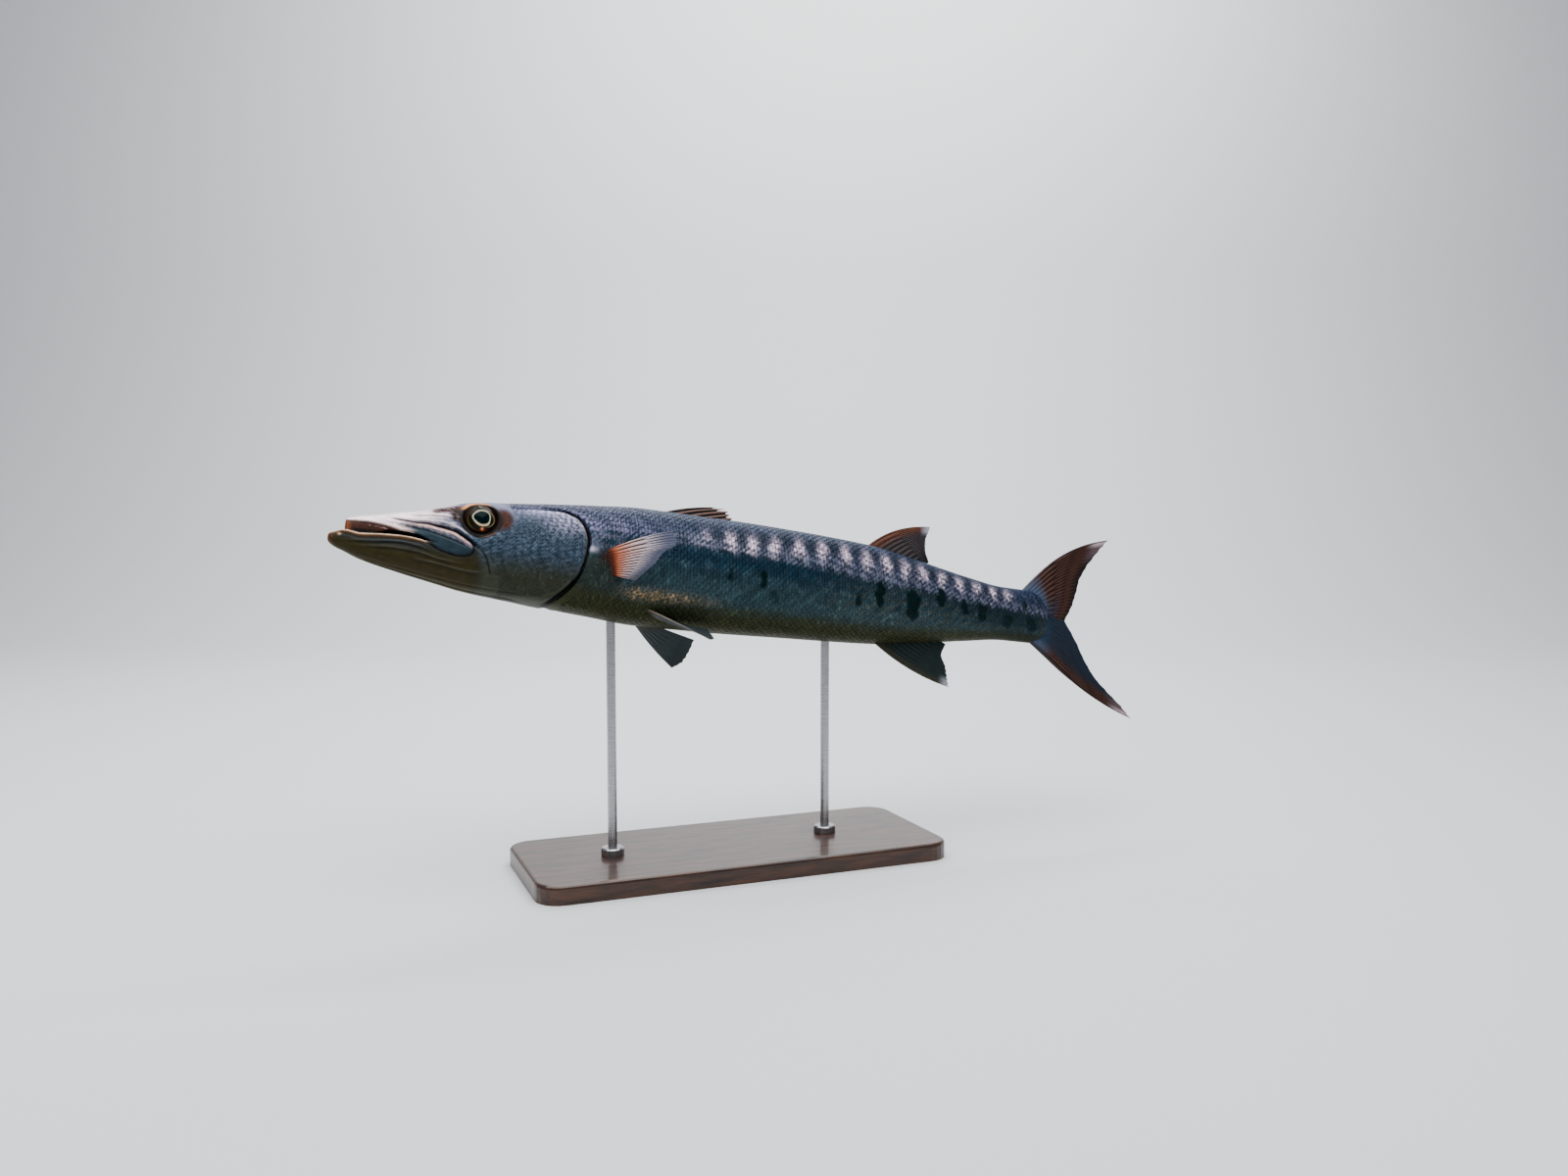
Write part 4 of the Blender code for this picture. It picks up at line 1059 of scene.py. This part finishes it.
def scale_shades(paint, pattern, rng, contrast):
    """The skin's colours on the plates: each with its own tone, a few with a painted highlight glint, darker
    at the root as painted shade under the scale ahead and paler at the rear edge as a painted highlight.
    """
    tone = rng.normal(1.0, 0.10 * contrast, len(paint)).clip(0.7, 1.4)
    gleam = rng.uniform(-0.10, 0.10, len(paint))[:, None]
    # a few plates made paler: a painted highlight glint
    tone *= np.where(rng.random(len(paint)) < 0.09 * contrast, 1.32, 1.0)
    u, v = pattern[0][:, 0], pattern[0][:, 1]
    # rim: painted shade at the root, under the scale ahead, and a painted highlight along the rear edge
    rim = 1 + contrast * (0.46 * ramp(u, 0.2, 0.95) * (1 - 0.4 * v**2) - 0.26)
    return np.clip(paint * (tone[:, None] * rim)[..., None], 0, 1).reshape(-1, 3), gleam


def make_scales(name, sheet, roots, spacing, material, seed, pattern, *, rise=0.42, thickness=0.17,
                contrast=1.0):
    """One joined mesh of scales at roots (x, row, pitch), with rows the spacing apart."""
    x, row, pitch = roots
    girth = np.interp(x, np.linspace(sheet.start, sheet.end, len(sheet.girth)), sheet.girth)
    length, width = 2.75 * pitch, 1.28 * spacing
    size = np.minimum(length, 0.5 * width * girth) / (9 * MM)
    rise = rise * MM * np.clip(size, 0.35, 1)
    thick = thickness * MM * np.clip(size, 0.5, 1)
    beneath, points = lay_scales(sheet, x, row, length, width, rise, thick, pattern, seed)
    paint, silver = body_paint(beneath)
    shades, gleam = scale_shades(paint, pattern, np.random.default_rng(seed + 1), contrast)
    sheen = np.clip(silver + gleam * (silver > 0.1), 0, 1)
    places, _, quads = pattern
    faces = (quads[None] + (np.arange(len(x)) * len(places))[:, None, None]).reshape(-1, 4)
    make_piece(name, bend_tail(points.reshape(-1, 3)), faces.tolist(), [], material,
               {"paint": shades, "silver": sheen},
               {"OFBake": scale_uv(x, row, pattern), "own": np.tile(places, (len(x), 1))})


def quincunx(columns, pitches, count, jitter, seed):
    """Roots (x, row, pitch) of alternating rows, each moved a little by its jitter."""
    rows = np.arange(-count, count) / count
    x, pitch = np.repeat(columns, len(rows)), np.repeat(pitches, len(rows))
    odd = np.repeat(np.arange(len(columns)), len(rows)) % 2
    row = np.tile(rows, len(columns)) + 0.5 / count * odd
    rng = np.random.default_rng(seed)
    x = x + rng.normal(0, jitter[0], len(x)) * pitch
    row = row + rng.normal(0, jitter[1], len(row)) / count
    return np.stack([x, row, pitch])


def body_columns():
    """Stations of the scale columns, which stand closer near the head and on the tail."""
    stations, pitches = [0.236], []
    while stations[-1] < 0.992:
        x = stations[-1]
        pitch = (2.7 + 1.4 * ramp(x, 0.26, 0.42) - 1.5 * ramp(x, 0.80, 0.99)) * MM
        pitches.append(pitch)
        stations.append(x + pitch)
    return np.array(stations[:-1]), np.array(pitches)


def make_body_scales(material):
    """The coat behind the gill cover and over the nape, in lengths along the body."""
    count = UPPER_ROWS + LOWER_ROWS
    sheet = Sheet(0.215, 0.999, UPPER_ROWS / count)
    roots = quincunx(*body_columns(), count, (0.05, 0.03), 21)
    x, _, z = sheet.at(roots[0], roots[1])[0].T
    distance, _ = near(GILL_EDGE, x, z)
    margin = (12.0 + 4.0 * hump(z, -0.010, 0.020)) * MM
    behind_gill = (distance > margin) & (x > 0.245) | (x > 0.31)
    nape = (z > 0.052) & (x > 0.24)
    roots = roots[:, behind_gill | nape]
    pattern = plate_pattern(6, 6)
    cuts = [0.0, 0.365, 0.49, 0.62, 0.755, 0.88, 1.1]
    for part, (low, high) in enumerate(zip(cuts, cuts[1:])):
        here = (roots[0] >= low) & (roots[0] < high)
        make_scales(f"scales_body_{part + 1}", sheet, roots[:, here], 1 / count, material, 30 + part, pattern)


def make_head_scales(material):
    """Small scales on the cheek, the gill cover and the nape."""
    count, pitch = 44, 1.75 * MM
    sheet = Sheet(0.13, 0.310, 0.42)
    columns = np.arange(0.142, 0.296, pitch)
    roots = quincunx(columns, np.full(len(columns), pitch), count, (0.06, 0.05), 44)
    x, y, z = sheet.at(roots[0], roots[1])[0].T
    f = head_fields(x, z)
    cover = (f["gill"] < -6.5 * MM) & (x > 0.196) & (z > -0.060)
    cover &= np.hypot(x - 0.1955, 0.8 * (z - 0.0275)) > 0.0150
    cheek = (x > 0.150) & (f["eye"] > 27 * MM) & (z < 0.012) & (z > -0.042)
    cheek &= (f["maxilla_top"] > 4 * MM) | (x > 0.190)
    nape = (z > 0.047) & (x > 0.197 + 0.004 * np.cos(y / 0.0045)) & (x < 0.245)
    pattern = plate_pattern(5, 5)
    for side, here in (("left", y < 0), ("right", y >= 0)):
        keep = (cover | cheek | nape) & here
        make_scales("scales_head_" + side, sheet, roots[:, keep], 1 / count, material, 60, pattern,
                    rise=0.14, thickness=0.07, contrast=0.75)


# Fins

def fin_surface(roots, tips, u, v, bow, bulge):
    """Points at u from root to tip on ray v, from the leading ray at 0 to the last at 1."""
    root_at, tip_at = path_through(roots), path_through(tips)
    root, tip = root_at(v), tip_at(v)
    ray = tip - root
    spread = root_at(1.0) - root_at(0.0)
    face = np.cross(ray, spread)
    face /= np.linalg.norm(face, axis=1)[:, None]
    forwards = np.cross(face, ray)
    forwards *= -np.sign(forwards @ spread)[:, None] / np.linalg.norm(forwards, axis=1)[:, None]
    arch = (4 * u * (1 - u))[:, None]
    places = root + ray * u[:, None] + forwards * arch * (bow * (1 - v) ** 2)[:, None]
    return places + face * arch * (bulge * np.sin(np.pi * v))[:, None]


ROOT_SHARE = -0.14            # how far the fins' roots reach back into the body, in shares of a ray
RAY_STEPS = 56                # points along a ray
STEPS_BETWEEN = 10            # points from ray to ray


def ray_profile(u, v, rays, forks):
    """1 on a fin ray and 0 on the membrane; each ray forks at the given shares of its length."""
    phase = v * rays
    profile = np.abs(np.cos(np.pi * phase)) ** 1.6
    for level, fork in enumerate(forks):
        split = np.abs(np.cos(np.pi * phase * 2 ** (level + 1))) ** 1.6
        profile = profile + (split - profile) * ramp(u, fork, fork + 0.16)
    return profile


def ray_stretch(u, v, rays, scallop, seed):
    """Shares of the ray's length at u, with roots inside the body and a scalloped outer edge."""
    rng = np.random.default_rng(seed)
    knots = np.linspace(0, 1, 2 * rays + 1)
    ragged = np.interp(v, knots, rng.uniform(-0.5, 0.5, len(knots))) * scallop
    notch = 0.5 - 0.5 * np.cos(2 * np.pi * v * rays)
    reach = 1 - scallop * notch + ragged - 0.5 * scallop
    return u * (1 + (reach - 1) * ramp(u, 0.6, 1.0)) + ROOT_SHARE * ramp(0.16 - u, 0, 0.16)


def half_thickness(u, v, rays, profile, thickness, edge):
    """Half the fin's thickness: raised rays, thin membrane, and rounded leading and rear edges."""
    solid = (edge + (thickness - edge) * (1 - u) ** 1.5) / STANDARD_LENGTH
    dip = 0.10 + 0.58 * ramp(u, 0.04, 0.45)
    from_edge = np.minimum(np.minimum(v, 1 - v) * rays * 2, 1)
    rounding = np.sqrt(np.clip(1 - (1 - from_edge) ** 2, 0.06, 1))
    return 0.5 * solid * (1 - dip * (1 - profile)) * rounding * (1 - 0.45 * ramp(u, 0.93, 1.0))


def two_sided_faces(across, along):
    """Quads of a closed sheet: its front, its back, and the rim between them."""
    count = across * along
    index = np.arange(count).reshape(across, along)
    front = grid_quads(index)
    ring = np.concatenate([index[:, 0], index[-1, 1:], index[-2::-1, -1], index[0, -2:0:-1]])
    after = np.roll(ring, -1)
    rim = np.stack([after, ring, ring + count, after + count], axis=-1)
    return np.concatenate([front, front[:, ::-1] + count, rim])


def make_fin(name, roots, tips, paint, material, *, rays, forks, bow=0.0, bulge=0.0, thickness=0.005,
             edge=0.0009, bent=False, scallop=0.02, seed=1):
    """A fin with raised rays on both faces, thin between them, with a scalloped outer edge."""
    across, along = rays * STEPS_BETWEEN + 1, RAY_STEPS
    v, u = np.meshgrid(np.linspace(0, 1, across), np.linspace(0, 1, along), indexing="ij")
    profile = ray_profile(u, v, rays, forks)
    stretch = ray_stretch(u, v, rays, scallop, seed)
    sheet = fin_surface(roots, tips, stretch.ravel(), v.ravel(), bow, bulge).reshape(across, along, 3)
    normals = np.cross(np.gradient(sheet, axis=0), np.gradient(sheet, axis=1))
    normals /= np.maximum(np.linalg.norm(normals, axis=2), 1e-12)[..., None]
    depth = normals * half_thickness(u, v, rays, profile, thickness, edge)[..., None]
    sides = np.stack([sheet + depth, sheet - depth])
    if bent:
        sides = bend_tail(sides)
    colours = paint(u.ravel(), v.ravel(), profile.ravel())
    make_piece(name + "_rays", sides, two_sided_faces(across, along).tolist(), [name], material,
               {"paint": np.concatenate([colours, colours])})


def spiny_paint(u, v, ray):
    return layered(colour(16, 14, 15),
                   (0.9 * ramp(ray, 0.66, 0.95), 160, 122, 112),
                   (0.6 * ramp(0.06 - v, 0, 0.05), 40, 30, 28))


def dorsal_paint(u, v, ray):
    return layered(colour(50, 46, 50),
                   (0.9 * ramp(0.30 - v, 0, 0.25), 104, 58, 36),
                   (0.5 * ramp(ray, 0.5, 0.95), 84, 70, 64),
                   (0.8 * hump(v, 0.95, 0.2) * ramp(u, 0.1, 0.5), 22, 22, 28),
                   (0.8 * ramp(u, 0.84, 1.0) * ramp(0.40 - v, 0, 0.25), 190, 192, 208),
                   (0.8 * ramp(0.05 - v, 0, 0.05), 48, 32, 28))


def anal_paint(u, v, ray):
    return layered(colour(28, 42, 42),
                   (0.7 * ramp(0.20 - v, 0, 0.18), 66, 58, 42),
                   (0.45 * ramp(ray, 0.5, 0.95), 58, 62, 56),
                   (0.7 * ramp(0.25 - u, 0, 0.25), 50, 46, 30),
                   (0.85 * ramp(u, 0.86, 1.0) * ramp(0.30 - v, 0, 0.2), 168, 172, 178))


def tail_paint(u, v, ray):
    return layered(colour(48, 30, 27),
                   (0.70 * ramp(ray, 0.5, 0.95), 114, 76, 60),
                   (0.8 * ramp(v, 0.45, 1.0) * ramp(0.75 - u, 0, 0.5), 38, 54, 76),
                   (0.9 * ramp(0.22 - u, 0, 0.16), 74, 94, 120),
                   (0.85 * ramp(u, 0.82, 0.97), 20, 19, 22),
                   (0.6 * ramp(u, 0.78, 0.95) * ramp(0.34 - v, 0, 0.2), 124, 106, 112),
                   (0.9 * ramp(u, 0.76, 0.94) * ramp(0.12 - v, 0, 0.1), 206, 190, 194),
                   (0.8 * ramp(0.05 - v, 0, 0.05), 32, 24, 22))


def low_tail_paint(u, v, ray):
    return layered(tail_paint(u, v, ray), (0.75 * ramp(v, 0.12, 0.40), 20, 48, 66))


def pectoral_paint(u, v, ray):
    line = (1 - ramp(ray, 0.15, 0.60)) * ramp(u, 0.14, 0.3)
    return layered(colour(196, 184, 192),
                   (ramp(0.70 - u, 0, 0.40), 216, 172, 160),
                   (ramp(0.46 - u, 0, 0.30), 198, 108, 68),
                   (ramp(0.25 - u, 0, 0.12), 78, 34, 22),
                   (0.92 * line, 36, 34, 40),
                   (0.85 * ramp(u, 0.62, 0.92), 76, 86, 108),
                   (0.65 * ramp(v, 0.70, 1.0) * ramp(u, 0.3, 0.8), 78, 80, 84))


def pelvic_paint(u, v, ray):
    return layered(colour(49, 62, 68),
                   (0.5 * ramp(ray, 0.5, 0.95), 84, 80, 68),
                   (0.9 * ramp(0.022 - v, 0, 0.02), 150, 140, 126),
                   (0.6 * ramp(0.3 - u, 0, 0.3), 62, 44, 26))


def fin_material():
    material, tree, shader = new_material("barracuda fins", {
        "Specular IOR Level": 0.25, "Coat Weight": 0.06, "Coat Roughness": 0.2})
    fine = noise(tree, object_place(tree), 420, 5, 0.6)
    wire(shader, Base_Color=painted(tree, vary(tree, fine, 0.78, 1.22)),
         Roughness=vary(tree, fine, 0.44, 0.64), Normal=bump(tree, fine, 0.0003, 0.5))
    return material


def in_plane(points):
    """Side-view points put on the fish's middle plane."""
    return [(x, 0.0, z) for x, z in points]


SPINY = {"rays": 5, "forks": [], "scallop": 0.10}
SOFT = {"rays": 10, "forks": [0.45, 0.72], "thickness": 0.006, "scallop": 0.008}
TAIL = {"rays": 11, "forks": [0.30, 0.55, 0.78], "thickness": 0.012, "edge": 0.0010, "bent": True,
        "scallop": 0.012}


def make_middle_fins(material):
    """The dorsal and anal fins and the lobes of the tail fin, by their roots and their tips."""
    middle = -0.0007
    for name, paint, settings, roots, tips in (
        ("dorsal_fin_first", spiny_paint, {**SPINY, "bow": 0.005, "seed": 2},
         [(0.388, 0.071), (0.430, 0.071), (0.472, 0.071)],
         [(0.4905, 0.0970), (0.498, 0.0955), (0.505, 0.0915), (0.5085, 0.0860), (0.509, 0.0800)]),
        ("dorsal_fin_second", dorsal_paint, {**SOFT, "bow": 0.0118, "seed": 3},
         [(0.697, 0.062), (0.745, 0.057), (0.794, 0.048)],
         [(0.8105, 0.1130), (0.8065, 0.104), (0.801, 0.092), (0.7995, 0.076), (0.804, 0.059)]),
        ("anal_fin", anal_paint, {**SOFT, "bow": 0.0085, "seed": 4},
         [(0.701, -0.060), (0.752, -0.058), (0.803, -0.050)],
         [(0.8250, -0.1215), (0.8235, -0.108), (0.8215, -0.092), (0.816, -0.077), (0.824, -0.060)]),
        ("caudal_fin_upper", tail_paint, {**TAIL, "bow": 0.0165, "seed": 5},
         [(0.953, 0.029), (0.970, 0.028), (0.983, 0.021), (0.988, 0.011), (0.989, middle)],
         [(1.1557, 0.1495), (1.1322, 0.127), (1.1015, 0.097), (1.0805, 0.071), (1.0690, 0.047),
          (1.0570, 0.024), (1.0385, middle)]),
        ("caudal_fin_lower", low_tail_paint, {**TAIL, "bow": 0.0145, "seed": 6},
         [(0.957, -0.037), (0.972, -0.034), (0.983, -0.025), (0.988, -0.013), (0.989, middle)],
         [(1.1680, -0.1345), (1.1486, -0.119), (1.1189, -0.099), (1.0945, -0.081), (1.0775, -0.061),
          (1.0600, -0.031), (1.0385, middle)]),
    ):
        make_fin(name, in_plane(roots), in_plane(tips), paint, material, **settings)


PECTORAL_FLARE = math.radians(38)
PECTORAL_ROOT = np.array([0.332, 0.054, -0.0125])


def on_pectoral(points):
    """Places given rearward and upward in the right pectoral fin's plane."""
    rearward = np.array([math.cos(PECTORAL_FLARE), math.sin(PECTORAL_FLARE), 0.0])
    shoulder = np.array([-0.38, 0.0, 0.92])
    upward = shoulder - rearward * (shoulder @ rearward)
    upward /= np.linalg.norm(upward)
    return PECTORAL_ROOT + np.array(points) @ [rearward, upward]


def make_paired_fins(material):
    """The pectoral and pelvic fins of both sides."""
    pectoral_roots = on_pectoral([(-0.021, 0.0085), (-0.012, -0.008), (-0.006, -0.0195)])
    pectoral_tips = on_pectoral([(0.0765, 0.0270), (0.0795, 0.0105), (0.0625, 0.0020), (0.0515, -0.0090),
                                 (0.0376, -0.0190), (0.0235, -0.0290)])
    pelvic_roots = np.array([(0.379, 0.0285, -0.064), (0.389, 0.021, -0.068), (0.398, 0.014, -0.070)])
    pelvic_tips = np.array([(0.4478, 0.0736, -0.1096), (0.4575, 0.0600, -0.1035),
                            (0.4610, 0.0440, -0.0940), (0.4620, 0.0260, -0.0820)])
    for side, sign in (("left", -1), ("right", 1)):
        flip = [1, sign, 1]
        make_fin("pectoral_fin_" + side, pectoral_roots * flip, pectoral_tips * flip, pectoral_paint,
                 material, rays=13, forks=[0.55], bow=0.004, bulge=sign * 0.003, scallop=0.014, seed=7)
        make_fin("pelvic_fin_" + side, pelvic_roots * flip, pelvic_tips * flip, pelvic_paint,
                 material, rays=6, forks=[0.4, 0.7], bow=0.004, bulge=sign * 0.002, scallop=0.014, seed=8)


# Eyes

EYEBALL_RINGS = 72
EYEBALL_SEGMENTS = 96
EYEBALL_POLE = 0.012          # radians left open for the cap at each pole
CORNEA_DOME = 0.9             # millimetres that the cornea stands over the ball


def eye_material():
    material, tree, shader = new_material("barracuda eye", {"Specular IOR Level": 0.10})
    fine = noise(tree, object_place(tree), 500, 4, 0.6)
    wire(shader, Base_Color=painted(tree, vary(tree, fine, 0.85, 1.15)),
         Roughness=remap(tree, value_of(tree, "silver"), 0.0, 1.0, 0.60, 0.12))
    return material


def eye_paint(dx, dz, turn):
    """Colour of the eye and its wet share, by millimetres back and up from its middle."""
    around = np.hypot(dx, dz)
    wobble = 1 + 0.05 * np.cos(3 * turn + 0.3) + 0.02 * np.cos(5 * turn)
    pupil_reach = np.hypot(dx / 8.6, dz / 7.5) * wobble
    iris_reach = np.hypot((dx - 1.9) / 13.4, (dz + 0.5) / 11.0)
    fibres = 0.5 + 0.5 * np.sin(turn * 46 + 3 * np.sin(turn * 5))
    low = ramp(-dz, 2, 9)
    iris = ramp(1.0 - iris_reach, -0.02, 0.03)
    ring = hump(pupil_reach, 1.13 + 0.06 * low, 0.060 + 0.045 * low)
    paint = layered(
        colour(42, 34, 22),
        (0.5 * fibres, 22, 19, 13),
        (0.7 * hump(around, 15.6, 0.6) * ramp(-dx - dz, 2, 12), 112, 112, 62),
        (iris, 52, 46, 30),
        (0.6 * iris * fibres, 30, 27, 18),
        (0.8 * iris * hump(iris_reach, 0.95, 0.035) * ramp(dx + dz, -8, 4), 190, 184, 150),
        (0.95 * ring, 238, 234, 210),
        (0.8 * ring * low, 255, 230, 176),
        (hump(np.hypot(dx - 1.6, dz + 13.6), 0, 2.2), 206, 84, 40),
        # white glint on the orange spot: a painted highlight
        (hump(np.hypot(dx - 1.0, dz + 12.6), 0, 1.0), 255, 214, 180),
        (ramp(1.0 - pupil_reach, -0.015, 0.03), 4, 28, 30))
    flesh = layered(colour(46, 31, 26), (0.6 * fibres, 26, 18, 15), (ramp(dx, 5, 12), 52, 24, 18))
    rim = ramp(around + 0.7 * np.sin(3 * turn), 14.6, 16.2)
    return tint(paint, rim, flesh), 1 - rim


def make_eye(side, sign, material):
    """An eyeball with a domed cornea, a dark pupil, a pale iris ring and a mottled surround."""
    turn = np.linspace(0, 2 * np.pi, EYEBALL_SEGMENTS, endpoint=False)
    tilt = np.linspace(EYEBALL_POLE, math.pi - EYEBALL_POLE, EYEBALL_RINGS)
    tilt, turn = np.meshgrid(tilt, turn, indexing="ij")
    front = tilt < np.pi / 2
    radius = EYE_RADII[0] / MM * np.sin(tilt)
    dx, dz = radius * np.cos(turn), radius * np.sin(turn)
    x = EYE_PLACE[0] + 0.985 * MM * dx
    z = EYE_PLACE[1] + 0.985 * MM * dz
    dome = CORNEA_DOME * MM * ramp(15.0 - radius, 0, 6.0) * front
    y = sign * (EYE_SIDE + 0.97 * EYE_RADII[1] * np.cos(tilt) + dome)
    paint, wet = eye_paint(dx, dz, turn)
    index = np.arange(radius.size).reshape(radius.shape)
    ahead = np.roll(index, -1, axis=1)
    quads = np.stack([index[:-1], ahead[:-1], ahead[1:], index[1:]], axis=-1).reshape(-1, 4)
    faces = quads.tolist() + [index[0][::-1].tolist(), index[-1].tolist()]
    if sign < 0:
        faces = [face[::-1] for face in faces]
    name = "eye_" + side
    make_piece(name + "_ball", np.stack([x, y, z], axis=-1), faces, [name], material,
               {"paint": paint, "silver": wet * front})


# Stand, studio and camera

def wood_material():
    material, tree, shader = new_material("varnished wood", {"Coat Weight": 0.5, "Coat Roughness": 0.12})
    grain = noise(tree, object_place(tree, (3.0, 26.0, 26.0)), 4.0, 8, 0.62)
    fine = noise(tree, object_place(tree, (14, 300, 300)), 3.0, 4, 0.6)
    wood = colour_ramp(tree, grain, (0.32, 34, 20, 14), (0.70, 92, 58, 38))
    wire(shader, Base_Color=shaded(tree, wood, vary(tree, fine, 0.80, 1.15)),
         Roughness=vary(tree, fine, 0.30, 0.45), Normal=bump(tree, fine, 0.0002, 0.5))
    return material


def steel_material():
    material, tree, shader = new_material("brushed steel", {"Metallic": 1.0})
    brushed = noise(tree, object_place(tree, (1, 1, 40)), 60, 4, 0.6)
    wire(shader, Base_Color=colour_ramp(tree, brushed, (0.30, 150, 150, 152), (0.70, 196, 196, 198)),
         Roughness=vary(tree, brushed, 0.24, 0.38), Normal=bump(tree, brushed, 0.00005, 0.4))
    return material


def dress_stand():
    wood, steel = wood_material(), steel_material()
    for name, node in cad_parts.items():
        if name.startswith("stand_"):
            node.data.materials.clear()
            node.data.materials.append(wood if name == "stand_base" else steel)


CAMERA_LENS = 29.25
CAMERA_TURN = math.radians(22.2)
CAMERA_DROP = math.radians(4.0)
CAMERA_PLACE = (-0.069, -1.575, 0.036)      # from the fish's origin, in shares
FLOOR_END = 2.2               # metres from the model to where the floor starts to rise
WALL_CURVE = 1.4


def aim(thing, place, way):
    """Put a camera or lamp at a place, looking the given way."""
    thing.location = place
    thing.rotation_euler = way.to_track_quat("-Z", "Y").to_euler()


def make_camera():
    data = bpy.data.cameras.new("camera")
    data.lens, data.sensor_width = CAMERA_LENS, 36
    camera = add_object("camera", data)
    level = math.cos(CAMERA_DROP)
    way = Vector((math.sin(CAMERA_TURN) * level, math.cos(CAMERA_TURN) * level, -math.sin(CAMERA_DROP)))
    aim(camera, FISH.translation + Vector(CAMERA_PLACE) * STANDARD_LENGTH, way)
    bpy.context.scene.camera = camera


def make_backdrop():
    """A pale floor that curves up into a wall far behind the model."""
    away = Vector((math.sin(CAMERA_TURN), math.cos(CAMERA_TURN), 0))
    across = Vector((math.cos(CAMERA_TURN), -math.sin(CAMERA_TURN), 0))
    profile = [(-6.0, 0.0), (FLOOR_END, 0.0)]
    for angle in np.linspace(0.08, math.pi / 2, 20):
        profile.append((FLOOR_END + WALL_CURVE * math.sin(angle), WALL_CURVE * (1 - math.cos(angle))))
    profile.append((FLOOR_END + WALL_CURVE, 7.0))
    points = [away * d + across * s + Vector((0, 0, h)) for s in (-9.0, 9.0) for d, h in profile]
    n = len(profile)
    mesh = bpy.data.meshes.new("backdrop")
    mesh.from_pydata(points, [], [(i, i + 1, n + i + 1, n + i) for i in range(n - 1)])
    mesh.shade_smooth()
    material, _, _ = new_material("pale backdrop", {"Base Color": (0.74, 0.75, 0.76, 1), "Roughness": 0.85})
    mesh.materials.append(material)
    backdrop = add_object("backdrop", mesh)


def add_light(name, place, target, size, power, tone=(1, 1, 1)):
    data = bpy.data.lights.new(name, "AREA")
    data.shape = "RECTANGLE"
    data.size, data.size_y = size
    data.energy, data.color = power, tone
    aim(add_object(name, data), place, Vector(target) - Vector(place))


def make_lights():
    middle = (0, 0, 0.36)
    add_light("top_key", (-0.3, -0.40, 2.4), middle, (3.4, 2.2), 80)
    add_light("front_fill", (-1.6, -2.6, 1.6), middle, (1.0, 0.6), 6, (0.94, 0.97, 1.0))
    add_light("rear_rim", (0.6, 1.5, 1.9), middle, (1.8, 0.6), 8)
    add_light("wall_wash", (1.0, 1.6, 3.2), (1.4, 3.4, 0.9), (3.0, 1.0), 90)
    world = bpy.data.worlds.new("studio")
    world.use_nodes = True
    sky = world.node_tree.nodes["Background"].inputs
    sky["Color"].default_value = (0.86, 0.91, 1.0, 1)
    sky["Strength"].default_value = 0.28
    bpy.context.scene.world = world
    bpy.context.scene.view_settings.look = "AgX - Medium High Contrast"


def main():
    make_camera()
    make_backdrop()
    make_lights()
    make_skin(skin_material())
    scales = scale_material()
    make_body_scales(scales)
    make_head_scales(scales)
    fins = fin_material()
    make_middle_fins(fins)
    make_paired_fins(fins)
    eyes = eye_material()
    for side, sign in (("left", -1), ("right", 1)):
        make_eye(side, sign, eyes)
    dress_stand()


main()
